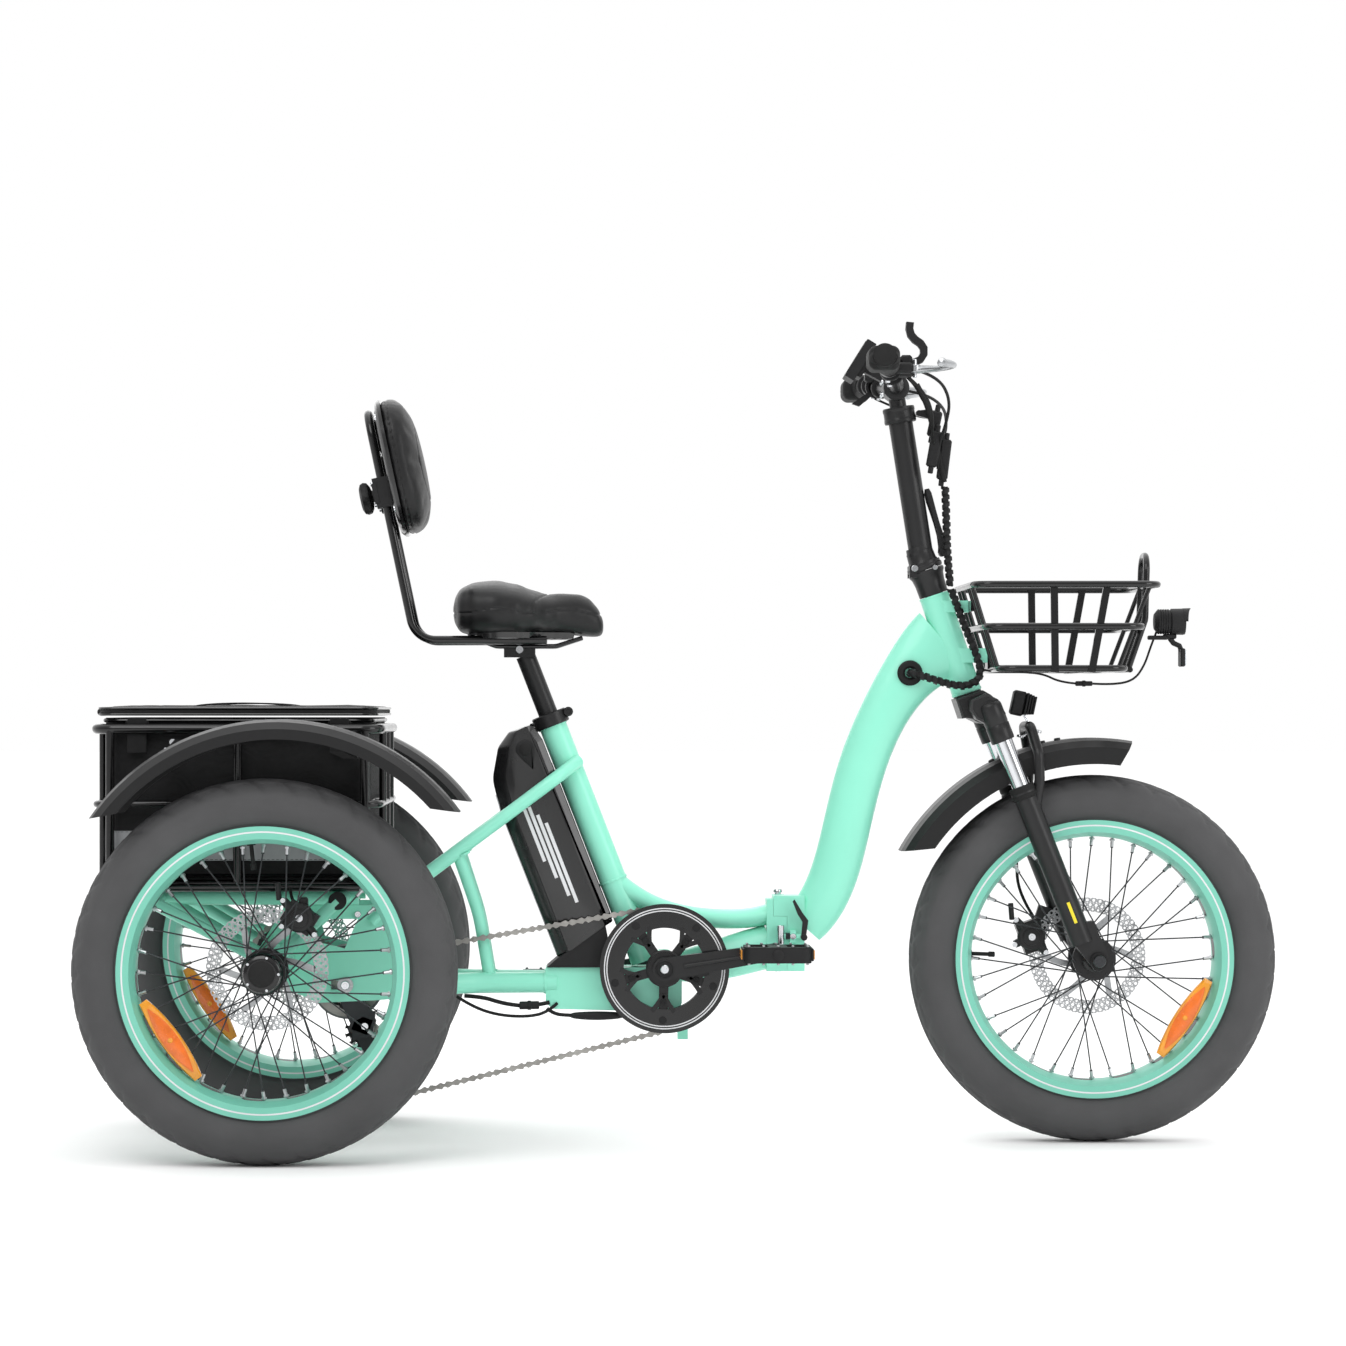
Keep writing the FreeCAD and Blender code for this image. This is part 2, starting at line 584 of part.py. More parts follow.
def make_cargo_bag():
    wall = 3.0
    outer = block(BAG_REAR, BAG_FRONT, -BAG_HALF, BAG_HALF, BAG_LOW, BAG_HIGH)
    inner = block(BAG_REAR + wall, BAG_FRONT - wall, wall - BAG_HALF, BAG_HALF - wall,
                  BAG_LOW + wall, BAG_HIGH + 1)
    outer = outer.makeFillet(22, upright_edges(outer))
    save("cargo_bag", outer.cut(inner.makeFillet(18, upright_edges(inner))))
    lid = block(BAG_REAR - 6, BAG_FRONT + 6, -BAG_HALF - 6, BAG_HALF + 6, BAG_HIGH + 1, BAG_HIGH + 13)
    lid = lid.makeFillet(20, upright_edges(lid))
    hinge = vec(BAG_REAR - 6, 0, BAG_HIGH + 7)
    roll = rod(hinge - AXIS_Y * (BAG_HALF - 20), hinge + AXIS_Y * (BAG_HALF - 20), 6)
    save("bag_lid", weld([lid, roll]))


# ---------------------------------------------------------------- drive
def toothed(x, z, y0, y1, teeth, hole):
    """A sprocket blank cut by its chain rollers, so that the teeth show."""
    radius = pitch_radius(teeth)
    blank = disc(x, z, y0, y1, radius + 2.5, hole)
    rollers = []
    for index in range(teeth):
        angle = 2 * math.pi * (index + 0.5) / teeth
        spot = (x + radius * math.cos(angle), z + radius * math.sin(angle))
        rollers.append(disc(spot[0], spot[1], y0 - 1, y1 + 1, 4.1))
    return blank.cut(Part.makeCompound(rollers))


def tangent_side(first, second):
    """Outside tangent between two (x, z, radius) circles, on the left of first to second.

    A negative radius puts the belt on the other side of that circle."""
    x0, z0, r0 = first
    x1, z1, r1 = second
    dx, dz = x1 - x0, z1 - z0
    length = math.hypot(dx, dz)
    sine = (r0 - r1) / length
    cosine = math.sqrt(1 - sine * sine)
    normal = ((dx * sine - dz * cosine) / length, (dz * sine + dx * cosine) / length)
    start = (x0 + normal[0] * r0, z0 + normal[1] * r0)
    end = (x1 + normal[0] * r1, z1 + normal[1] * r1)
    return start, end


def chain_side(circles, y0, y1, height):
    """One side of a chain round its wheels: a band of plates, each wheel's run in turn."""
    runs = []
    count = len(circles)
    for index in range(count):
        runs.append(tangent_side(circles[index], circles[(index + 1) % count]))
    edges = []
    for index in range(count):
        start, end = runs[index]
        edges.append(Part.LineSegment(vec(start[0], y0, start[1]), vec(end[0], y0, end[1])).toShape())
        x, z, radius = circles[(index + 1) % count]
        leave = runs[(index + 1) % count][0]
        here = math.atan2(end[1] - z, end[0] - x)
        there = math.atan2(leave[1] - z, leave[0] - x)
        if radius > 0:
            sweep = (here - there) % (2 * math.pi)
            half_way = here - sweep / 2
        else:
            sweep = (there - here) % (2 * math.pi)
            half_way = here + sweep / 2
        middle = vec(x + abs(radius) * math.cos(half_way), y0, z + abs(radius) * math.sin(half_way))
        edges.append(Part.Arc(vec(end[0], y0, end[1]), middle, vec(leave[0], y0, leave[1])).toShape())
    wire = Part.Wire(Part.__sortEdges__(edges))
    outer = wire.makeOffset2D(height / 2)
    inner = wire.makeOffset2D(-height / 2)
    if Part.Face(outer).Area < Part.Face(inner).Area:
        outer, inner = inner, outer
    face = Part.Face(outer).cut(Part.Face(inner))
    return face.extrude(vec(0, y1 - y0, 0)).Solids[0]


JOCKEYS = ((-497.0, 172.0), (-455.0, 91.6))


def make_chains():
    chainring = (CRANK_X, CRANK_Z, pitch_radius(CHAINRING_TEETH))
    cog = (JACK_X, JACK_Z, pitch_radius(COG_TEETH))
    jockey_radius = pitch_radius(JOCKEY_TEETH)
    upper = (*JOCKEYS[0], -jockey_radius)
    lower = (*JOCKEYS[1], jockey_radius)
    drive = [cog, chainring, lower, upper]
    output = (JACK_X, JACK_Z, pitch_radius(OUTPUT_TEETH))
    final = (-AXLE_X, TYRE_RADIUS, pitch_radius(DIFFERENTIAL_TEETH))
    sides = []
    for circles, y in ((drive, CHAIN_Y), ([final, output], AXLE_CHAIN_Y)):
        sides.append(chain_side(circles, y + 1.5, y + 3.0, 7))
        sides.append(chain_side(circles, y - 3.0, y - 1.5, 7))
    save("chains", sides)


def make_derailleur():
    """Hanger, cage plates and the two jockey wheels that tension the chain."""
    (x0, z0), (x1, z1) = JOCKEYS
    parts = []
    for y0, y1 in ((CHAIN_Y - 9, CHAIN_Y - 6), (CHAIN_Y + 6, CHAIN_Y + 9)):
        along = vec(x1 - x0, 0, z1 - z0).normalize()
        side = vec(-along.z, 0, along.x) * 11
        ends = [vec(x0, 0, z0) - along * 12 + side, vec(x1, 0, z1) + along * 12 + side,
                vec(x1, 0, z1) + along * 12 - side, vec(x0, 0, z0) - along * 12 - side]
        parts.append(prism([(p.x, p.z) for p in ends], y0, y1))
    for x, z in JOCKEYS:
        parts.append(disc(x, z, CHAIN_Y - 6, CHAIN_Y + 6, 4))
    parts.append(prism([(-512, 196), (-474, 204), (-478, 168), (-508, 160)], CHAIN_Y - 34, CHAIN_Y - 9))
    parts.append(prism([(-530, 226), (-500, 230), (-478, 204), (-512, 186)], -83.6, -73))
    cage = weld(parts)
    save("derailleur", cage)
    for name, (x, z) in zip(("upper", "lower"), JOCKEYS):
        wheel = toothed(x, z, CHAIN_Y - 1.2, CHAIN_Y + 1.2, JOCKEY_TEETH, 4 + RUNNING)
        save("jockey_wheel_" + name, wheel)


def make_hub_motor():
    bore = rod(vec(JACK_X, -90, JACK_Z), vec(JACK_X, 90, JACK_Z), 7 + RUNNING)
    shell = weld([disc(JACK_X, JACK_Z, -28, 40, MOTOR_RADIUS), disc(JACK_X, JACK_Z, 38, 58, 18),
                  disc(JACK_X, JACK_Z, -34, -26, 24)])
    shell = shell.cut(bore)
    output = toothed(JACK_X, JACK_Z, AXLE_CHAIN_Y - 1.2, AXLE_CHAIN_Y + 1.2, OUTPUT_TEETH, 18)
    cogs = []
    for step, radius in enumerate((52, 48, 44)):
        y = -36 - 3.5 * step
        cogs.append(disc(JACK_X, JACK_Z, y - 1, y + 1, radius))
    body = disc(JACK_X, JACK_Z, -56, -34.2, 22)
    cassette = weld([body] + cogs)
    cog = toothed(JACK_X, JACK_Z, CHAIN_Y - 1.2, CHAIN_Y + 1.2, COG_TEETH, 20)
    save("hub_motor", [shell, output, weld([cassette, cog]).cut(bore)])


def make_differential():
    case = weld([disc(-AXLE_X, TYRE_RADIUS, -34, 42, 36), disc(-AXLE_X, TYRE_RADIUS, 40, 60, 26)])
    case = case.cut(rod(vec(-AXLE_X, -90, TYRE_RADIUS), vec(-AXLE_X, 90, TYRE_RADIUS),
                        SHAFT_RADIUS + RUNNING))
    ring = toothed(-AXLE_X, TYRE_RADIUS, AXLE_CHAIN_Y - 1.2, AXLE_CHAIN_Y + 1.2,
                   DIFFERENTIAL_TEETH, 26)
    save("differential", [case, ring])


def crank_point(along, y):
    angle = math.radians(CRANK_RISE)
    return vec(CRANK_X + along * math.cos(angle), y, CRANK_Z + along * math.sin(angle))


def make_crank_arm(side):
    """Tapered arm on the spindle end, leaning with the crank."""
    reach = -side * CRANK_LENGTH
    y0, y1 = sorted((side * 66, side * 80))
    big = disc(CRANK_X, CRANK_Z, y0, y1, 18)
    tip = crank_point(reach, 0)
    small = disc(tip.x, tip.z, y0, y1, 13)
    across = vec(-math.sin(math.radians(CRANK_RISE)), 0, math.cos(math.radians(CRANK_RISE)))
    corners = [crank_point(0, 0) + across * 17, tip + across * 12.5, tip - across * 12.5,
               crank_point(0, 0) - across * 17]
    web = prism([(p.x, p.z) for p in corners], y0, y1)
    return weld([big, small, web])


def make_crankset():
    parts = [rod(vec(CRANK_X, -66, CRANK_Z), vec(CRANK_X, 66, CRANK_Z), 8.5)]
    for side in (1, -1):
        parts.append(make_crank_arm(side))
        tip = crank_point(-side * CRANK_LENGTH, 0)
        parts.append(rod(vec(tip.x, side * 78, tip.z), vec(tip.x, side * 172, tip.z), 5))
    hub = disc(CRANK_X, CRANK_Z, -66, -52, 24)
    arms = []
    for index in range(5):
        arm = block(CRANK_X + 15, CRANK_X + 70, -59, -53, CRANK_Z - 7, CRANK_Z + 7)
        arm.rotate(vec(CRANK_X, 0, CRANK_Z), AXIS_Y, 72 * index + 20)
        arms.append(arm)
    save("crank_arms", weld(parts + [hub] + arms))
    ring = toothed(CRANK_X, CRANK_Z, CHAIN_Y - 1.2, CHAIN_Y + 1.2, CHAINRING_TEETH, 62)
    bosses = []
    for index in range(5):
        boss = disc(CRANK_X + 66, CRANK_Z, -52.9, CHAIN_Y - 1.2, 6)
        boss.rotate(vec(CRANK_X, 0, CRANK_Z), AXIS_Y, 72 * index + 20)
        bosses.append(boss)
    guard = disc(CRANK_X, CRANK_Z, -62.5, -59.1, GUARD_RADIUS, 62)
    save("chainring", [weld([ring] + bosses), guard])


def make_pedal(side):
    name = "left" if side > 0 else "right"
    tip = crank_point(-side * CRANK_LENGTH, 0)
    y0, y1 = sorted((side * 92, side * 176))
    body = block(tip.x - 50, tip.x + 50, y0, y1, tip.z - 12, tip.z + 12)
    body = body.makeFillet(12, upright_edges(body))
    for shift in (-1, 1):
        window = block(tip.x + shift * 28 - 14, tip.x + shift * 28 + 14, y0 + 14, y1 - 14,
                       tip.z - 20, tip.z + 20)
        body = body.cut(window)
    body = body.cut(rod(vec(tip.x, side * 70, tip.z), vec(tip.x, side * 172.5, tip.z), 5 + RUNNING))
    save("pedal_" + name, body)


# ---------------------------------------------------------------- front frame
def make_front_frame():
    head = rod(HEAD_TOP, HEAD_LOW, 23)
    parts = [head, oval_tube([(178, 331, 70, 48), (201, 357, 72, 49), (227, 411, 73, 50),
                              (246.5, 485, 73, 50), (269.5, 574, 73, 50), (310, 667.5, 76, 50),
                              (356, 731, 96, 48), (396, 764, 120, 40)])]
    parts.append(block(132 + GAP, 170, -26, 26, FOLD_STEP + GAP, FOLD_HIGH))
    parts.append(block(153 + GAP, 180, -26, 26, FOLD_LOW, FOLD_HIGH))
    parts.append(block(134, 150, 20, FOLD_PIN_Y, FOLD_STEP + GAP, FOLD_HIGH))
    pin_step = vec(FOLD_PIN_X, FOLD_PIN_Y, FOLD_STEP + GAP)
    pin_high = vec(FOLD_PIN_X, FOLD_PIN_Y, FOLD_HIGH)
    parts.append(rod(pin_step, pin_high, 9.5))
    parts.append(block(157, 166, -42, -25, 307, 325))
    for z0, z1, front in ((811, 829, 431), (734, 756, 460)):
        parts.append(block(front - 46, front, -22, 22, z0, z1))
    frame = weld(parts)
    frame = frame.cut(rod(HEAD_TOP - HEAD_DOWN * 30, HEAD_LOW + HEAD_DOWN * 30, 17))
    frame = frame.cut(rod(HEAD_TOP - HEAD_DOWN * 30, HEAD_TOP, 80))
    frame = frame.cut(rod(pin_step, pin_high, FOLD_PIN_RADIUS + RUNNING))
    frame = frame.cut(rod(vec(150, -36, 316), vec(180, -36, 316), 3.5))
    rod_end = rod(vec(148.5, -36, 316), vec(173, -36, 316), 3.5)
    save("front_frame", [frame, rod_end])
    cups = []
    for start in (HEAD_TOP, HEAD_LOW - HEAD_DOWN * 14):
        cups.append(pipe(start, start + HEAD_DOWN * 14, 17, STEERER_RADIUS + RUNNING))
    save("head_bearings", cups)
    grommet_at = vec(341, -26, 718)
    return pipe(grommet_at, grommet_at - AXIS_Y * 6, 18, 11)


def make_frame_latch():
    pivot = vec(178.5, -36, 314.5)
    cam = rod(pivot - AXIS_Y * 7, pivot + AXIS_Y * 7, 5)
    blade = prism([(181, 312), (185, 340), (176, 352), (164, 372), (161, 369), (169, 349),
                   (176, 338), (174, 314)], -41, -35)
    save("frame_latch", weld([cam, blade]))


# ---------------------------------------------------------------- front basket and light
FRONT_RAIL = 5.0


def make_front_basket():
    levels = ((850, 428, 704, 165), (787, 446, 681, 160), (724, 467, 656, 152))
    parts = [rail(x0, x1, half, z, FRONT_RAIL, 26) for z, x0, x1, half in levels]
    (top, rear_top, front_top, half_top), _, (low, rear_low, front_low, half_low) = levels
    for share in (0.43, 0.72):
        top_x = rear_top + share * (front_top - rear_top)
        low_x = rear_low + share * (front_low - rear_low)
        for side in (1, -1):
            parts.append(prism([(top_x - 5.5, top), (top_x + 5.5, top), (low_x + 5.5, low - 5),
                                (low_x - 5.5, low - 5)], *sorted((side * 155, side * 161))))
            parts.append(block(low_x - 5.5, low_x + 5.5, *sorted((side * 150, side * 160)),
                               low - 6, low + 4))
        parts.append(block(low_x - 5.5, low_x + 5.5, -154, 154, low - 6, low - 1))
    for y in (-110, -55, 0, 55, 110):
        parts.append(rod(vec(rear_low, y, low), vec(front_low, y, low), 3.5))
        if y:
            parts.append(rod(vec(rear_top, y, top), vec(rear_low, y, low), 3.5))
    for y in (-55, 55):
        parts.append(rod(vec(front_top, y, top), vec(front_low, y, low), 3.5))
    parts.append(bent_rod([vec(674, -32, 724), vec(700, -32, 800), vec(703, -32, 898),
                           vec(703, 32, 898), vec(700, 32, 800), vec(674, 32, 724)], 5, 26))
    parts.append(rod(vec(654, -40, 724), vec(676, -40, 724), 5))
    parts.append(rod(vec(654, 40, 724), vec(676, 40, 724), 5))
    parts.append(rod(vec(675, -47, 723), vec(675, 47, 723), 4.5))
    parts.append(block(431 + GAP, 436, -58, 58, 812, 828))
    parts.append(block(460 + GAP, 466, -20, 20, 724, 756))
    basket = weld(parts)
    save("front_basket", basket)


def make_headlight():
    body = rod(vec(722, 0, 797), vec(764, 0, 797), 20)
    visor = pipe(vec(764.2, 0, 797), vec(772, 0, 797), 21.5, 18).cut(
        block(755, 780, -30, 30, 770, 797))
    bracket = weld([block(709, 741, -8, 8, 769, 776), block(733, 741, -8, 8, 745, 770)])
    save("headlight", [body, visor, bracket])


# ---------------------------------------------------------------- fork
def leg_point(down, side):
    """A point on a fork leg's axis, measured down from the crown."""
    return vec(463.0, side * LEG_Y, 654.0) + LEG_DOWN * down


STANCHION_REACH = 150.0
LOWER_START = 121.0
LOWER_END = 372.0


def make_fork():
    crown_at = HEAD_LOW + HEAD_DOWN * 20
    parts = [rod(HEAD_TOP - HEAD_DOWN * 28, crown_at, STEERER_RADIUS)]
    parts.append(rod(HEAD_LOW + HEAD_DOWN * GAP, crown_at, 22))
    crown = [HEAD_LOW + HEAD_DOWN * down + HEAD_FORWARD * ahead for down, ahead in
             ((3, -22), (3, 20), (22, 34), (46, 38), (50, 4), (38, -8), (33, -22))]
    parts.append(prism([(p.x, p.z) for p in crown], -46, 46))
    shoulder = [HEAD_LOW + HEAD_DOWN * down + HEAD_FORWARD * ahead for down, ahead in
                ((10, -4), (8, 20), (22, 34), (46, 38), (50, 4), (40, -6), (24, -10))]
    parts.append(prism([(p.x, p.z) for p in shoulder], -86, 86))
    for side in (1, -1):
        parts.append(rod(leg_point(-14, side), leg_point(42, side), LOWER_RADIUS))
        parts.append(rod(leg_point(42, side), leg_point(LOWER_START + STANCHION_REACH, side),
                         STANCHION_RADIUS))
    save("fork_crown", weld(parts))


def make_fork_lowers():
    parts = []
    hollow = []
    for side in (1, -1):
        parts.append(rod(leg_point(LOWER_START, side), leg_point(LOWER_END, side), LOWER_RADIUS))
        parts.append(rod(leg_point(LOWER_START, side), leg_point(LOWER_START + 14, side), 19.5))
        foot = leg_point(LOWER_END - 4, side)
        inner = 64.0
        y0, y1 = sorted((side * inner, side * 88))
        parts.append(prism([(foot.x - 14, foot.z + 26), (foot.x + 16, foot.z + 30),
                            (FRONT_HUB.x + 15, FRONT_HUB.z + 10), (FRONT_HUB.x + 15, FRONT_HUB.z - 12),
                            (FRONT_HUB.x - 4, FRONT_HUB.z - 16), (foot.x - 12, foot.z - 6)], y0, y1))
        hollow.append(rod(leg_point(LOWER_START - 2, side),
                          leg_point(LOWER_START + STANCHION_REACH + 50, side),
                          STANCHION_RADIUS + RUNNING))
    forward = vec(-LEG_DOWN.z, 0, LEG_DOWN.x)
    arch_half = [leg_point(LOWER_START + 34, 1) + forward * 9,
                 leg_point(LOWER_START - 4, 1) + forward * 30,
                 vec(533, 76, 594), vec(523, 50, 636)]
    arch = bent_rod(arch_half + [vec(p.x, -p.y, p.z) for p in reversed(arch_half)], 8, 22)
    parts.append(arch)
    parts.append(rod(vec(FRONT_HUB.x, -96, FRONT_HUB.z), vec(FRONT_HUB.x, 96, FRONT_HUB.z), 6))
    for side in (1, -1):
        parts.append(disc(FRONT_HUB.x, FRONT_HUB.z, *sorted((side * 88, side * 94)), 11))
    save("fork_lowers", weld(parts).cut(Part.makeCompound(hollow)))


def make_front_fender():
    save("front_fender", make_fender(FRONT_HUB, FRONT_FENDER_RADIUS, 56.0, 40, (80, 151), (83, 145)))


def make_caliper(x, z, y_rotor, side, tilt):
    """Brake caliper straddling the rotor's edge, with a slot for the disc."""
    y0, y1 = sorted((y_rotor - side * 12, y_rotor + side * 16))
    body = block(x - 24, x + 24, y0, y1, z - 17, z + 17)
    body.rotate(vec(x, 0, z), AXIS_Y, tilt)
    return body


def make_calipers():
    rear = []
    for side in (1, -1):
        hub = vec(-AXLE_X, side * TRACK_HALF, TYRE_RADIUS)
        rotor_y = side * (TRACK_HALF - 56)
        body = make_caliper(hub.x + 48, hub.z + 76, rotor_y, -side, 32)
        slot = disc(hub.x, hub.z, rotor_y - 2.4, rotor_y + 2.4, ROTOR_RADIUS + 2)
        post_y0, post_y1 = sorted((rotor_y - side * 16, side * 252))
        post = disc(hub.x + 52, hub.z + 84, post_y0, post_y1, 7)
        rear.append(weld([body, post]).cut(slot))
    save("rear_calipers", rear)
    body = make_caliper(FRONT_HUB.x - 88, FRONT_HUB.z + 30, 56, 1, 70)
    mount = prism([(548, 360), (572, 352), (556, 306), (530, 300)], 60, 72)
    slot = disc(FRONT_HUB.x, FRONT_HUB.z, 53.6, 58.4, ROTOR_RADIUS + 2)
    caliper = weld([body, mount]).cut(slot)
    leg = rod(leg_point(LOWER_START, 1), leg_point(LOWER_END, 1), LOWER_RADIUS)
    save("front_caliper", caliper.cut(leg))


# ---------------------------------------------------------------- stem and handlebar
def stem_point(down, rear=0.0, y=0.0):
    return STEM_TOP + STEM_DOWN * down + vec(STEM_DOWN.z, 0, -STEM_DOWN.x) * rear + AXIS_Y * y


def make_stem():
    pin = vec(STEM_PIN_X, 0, STEM_PIN_Z)
    base_top = HEAD_TOP - HEAD_DOWN * 34
    base = [rod(HEAD_TOP - HEAD_DOWN * GAP, base_top, 22)]
    base.append(rod(base_top, HEAD_TOP - HEAD_DOWN * 40, 27))
    for side in (1, -1):
        base.append(block(pin.x - 8, pin.x + 16, *sorted((side * 14, side * 22)), pin.z - 14, pin.z + 4))
        base.append(disc(pin.x, pin.z, *sorted((side * 14, side * 22)), 8))
    fold_base = weld(base)
    fold_base = fold_base.cut(rod(HEAD_TOP - HEAD_DOWN * -1, HEAD_TOP - HEAD_DOWN * 28, STEERER_RADIUS))
    fold_base = fold_base.cut(rod(HEAD_TOP - HEAD_DOWN * 40.01, HEAD_TOP - HEAD_DOWN * 90, 60).cut(
        disc(pin.x, pin.z, -60, 60, 9)).cut(block(300, 380, -60, -13.9, 800, 900)).cut(
        block(300, 380, 13.9, 60, 800, 900)))
    fold_base = fold_base.cut(disc(pin.x, pin.z, -13.9, 13.9, 9))
    fold_base = fold_base.cut(disc(pin.x, pin.z, -60, 60, 4))
    save("stem_base", [fold_base, disc(pin.x, pin.z, -24, 24, 4)])
    foot = HEAD_TOP - HEAD_DOWN * 40.6
    tube = rod(STEM_TOP, stem_point(214), STEM_RADIUS)
    flange = rod(foot, foot - HEAD_DOWN * 12, 26)
    collar = rod(foot - HEAD_DOWN * 8, foot - HEAD_DOWN * 30, 21)
    lug = block(pin.x, pin.x + 20, -13.5, 13.5, pin.z - 2, pin.z + 12)
    ear = disc(pin.x, pin.z, -13.5, 13.5, 8).fuse(lug)
    stem = weld([tube, flange, collar, ear])
    stem = stem.cut(rod(STEM_TOP - STEM_DOWN, stem_point(210), MAST_RADIUS + RUNNING))
    stem = stem.cut(disc(pin.x, pin.z, -60, 60, 4 + RUNNING))
    for side in (1, -1):
        stem = stem.cut(disc(pin.x, pin.z, *sorted((side * 13.5, side * 23)), 17.5))
    behind = [pin - HEAD_FORWARD * ahead - HEAD_DOWN * up for ahead, up in
              ((0, -14), (0, 6), (50, 6), (50, -14))]
    turning = prism([(p.x, p.z) for p in behind], -60, 60).cut(disc(pin.x, pin.z, -61, 61, 7.4))
    stem = stem.cut(turning)
    stem = stem.cut(rod(foot, foot + HEAD_DOWN * 60, 60).cut(disc(pin.x, pin.z, -13.5, 13.5, 8)))
    hinge = foot - HEAD_DOWN * 16 + vec(HEAD_DOWN.z, 0, -HEAD_DOWN.x) * -32
    blade = prism([(400, 902), (394, 930), (384, 962), (372, 1000), (367, 999), (378, 960),
                   (386, 928), (389, 900)], -8, 8)
    save("stem_latch", weld([disc(hinge.x, hinge.z, -9, 9, 5), blade]))
    collar_low, collar_high = STEM_TOP + STEM_DOWN * 12, STEM_TOP - STEM_DOWN * 12
    clamp = rod(collar_low, collar_high, 24).cut(rod(collar_low, STEM_TOP, STEM_RADIUS)).cut(
        rod(STEM_TOP, collar_high, MAST_RADIUS + RUNNING))
    save("stem", [stem, clamp])
    pivot = STEM_TOP + vec(29.5, 0, 3)
    save("height_lever", weld([rod(pivot - AXIS_Y * 8, pivot + AXIS_Y * 8, 4.5),
                               prism([(pivot.x - 2, pivot.z - 4), (pivot.x + 16, pivot.z - 9),
                                      (pivot.x + 18, pivot.z + 6), (pivot.x - 2, pivot.z + 4)], -7, 7)]))


def bar_point(y):
    """The handlebar's centre line, which sweeps back and up to the grips."""
    reach = min(max((abs(y) - 40) / 180, 0), 1)
    return vec(BAR_X - 28 * reach, y, BAR_Z + 22 * reach)


def make_handlebar():
    mast = rod(vec(BAR_X, 0, BAR_Z) + STEM_DOWN * 8, stem_point(200), MAST_RADIUS)
    ring = rod(vec(BAR_X, -24, BAR_Z), vec(BAR_X, 24, BAR_Z), 20)
    points = [bar_point(y) for y in (-340, -200, -50, 50, 200, 340)]
    points[0] = vec(280, -340, 1178)
    points[-1] = vec(280, 340, 1178)
    bar = bent_rod(points, BAR_RADIUS, 120)
    bar_assembly = weld([mast, ring, bar])
    grips = []
    for side in (1, -1):
        inner = (points[1] if side < 0 else points[-2]) + vec(-2.2, side * 20, 0.15)
        outer = vec(280, side * 340, 1178)
        along = (outer - inner).normalize()
        sleeve = rod(inner, outer + along * 5, 17)
        palm = block(257, 303, *sorted((side * 262, side * 340)), 1157, 1193)
        palm = palm.makeFillet(12, palm.Edges)
        grips.append(weld([sleeve, palm]).cut(rod(inner - along * 30, outer, BAR_RADIUS)).cut(bar))
    save("grips", grips)
    slab = block(233, 299, -36, 36, 1189, 1203)
    slab.rotate(vec(266, 0, 1196), AXIS_Y, -58)
    post = prism([(267, 1182), (280, 1202), (314, 1177), (304, 1162)], -12, 12)
    body = weld([slab, post]).cut(rod(vec(BAR_X, -60, BAR_Z), vec(BAR_X, 60, BAR_Z), 20))
    save("display", body)
    return bar_assembly


def make_levers(bar_assembly):
    """Brake lever clamps, blades, the shift paddle and the thumb throttle."""
    clamps = []
    for side in (1, -1):
        name = "left" if side > 0 else "right"
        centre = bar_point(side * 190)
        body = rod(centre - AXIS_Y * 9, centre + AXIS_Y * 9, 16)
        arm = block(centre.x + 10, centre.x + 38, centre.y - 9, centre.y + 9, centre.z - 8, centre.z + 2)
        pivot = vec(centre.x + 38, centre.y, centre.z - 3)
        clamp = weld([body, arm]).cut(rod(pivot - AXIS_Z * 20, pivot + AXIS_Z * 20, 9.4))
        clamp = clamp.cut(bar_assembly)
        clamps.append(clamp)
        blade = bent_rod([pivot, vec(pivot.x + 26, side * 214, pivot.z - 2),
                          vec(pivot.x + 24, side * 262, pivot.z - 2),
                          vec(pivot.x + 8, side * 318, pivot.z)], 5, 26)
        save("brake_lever_" + name, weld([disc_z(pivot, 9, 5.5), blade]))
    save("handlebar", [bar_assembly] + clamps)
    base = bar_point(-160)
    foot = vec(base.x + 22, -160, base.z + 12)
    paddle = prism([(foot.x, foot.z), (foot.x + 14, foot.z + 2), (foot.x + 9, foot.z + 26),
                    (foot.x - 4, foot.z + 52), (foot.x - 12, foot.z + 48), (foot.x - 8, foot.z + 24)],
                   -168, -152)
    save("shift_paddle", weld([paddle, disc(foot.x + 5, foot.z, -170, -150, 7)]))
    thumb = bar_point(150)
    ring = rod(vec(thumb.x, 146, thumb.z), vec(thumb.x, 158, thumb.z), 18).cut(
        rod(vec(thumb.x, 100, thumb.z), vec(thumb.x, 200, thumb.z), 14))
    tongue = prism([(thumb.x - 40, thumb.z - 26), (thumb.x - 28, thumb.z - 30),
                    (thumb.x - 9, thumb.z - 14), (thumb.x - 14, thumb.z - 8)], 146, 158)
    save("throttle", weld([ring, tongue]))


def disc_z(centre, radius, half):
    return rod(centre - AXIS_Z * half, centre + AXIS_Z * half, radius)


def make_cables(frame_grommet):
    """Cable loom clipped from the handlebar, past the fold, to the frame grommet."""
    upper = [vec(352, -20, 1160), vec(372, -22, 1120), vec(384, -24, 1060), vec(394, -24, 1010)]
    save("bar_cables", bent_rod(upper, 5, 60))
    lower = [vec(395, -24, 1003), vec(397, -24, 960), vec(398, -25, 900), vec(403, -28, 851)]
    save("stem_loom", bent_rod(lower, 6, 120))
    turn = [vec(404, -28.5, 844), vec(424, -33, 790), vec(445, -35, 738), vec(449, -38, 708),
            vec(424, -40, 697), vec(390, -42, 704), vec(341, -50, 718), vec(341, -26.5, 718)]
    save("frame_loom", [bent_rod(turn, 6, 40), frame_grommet])


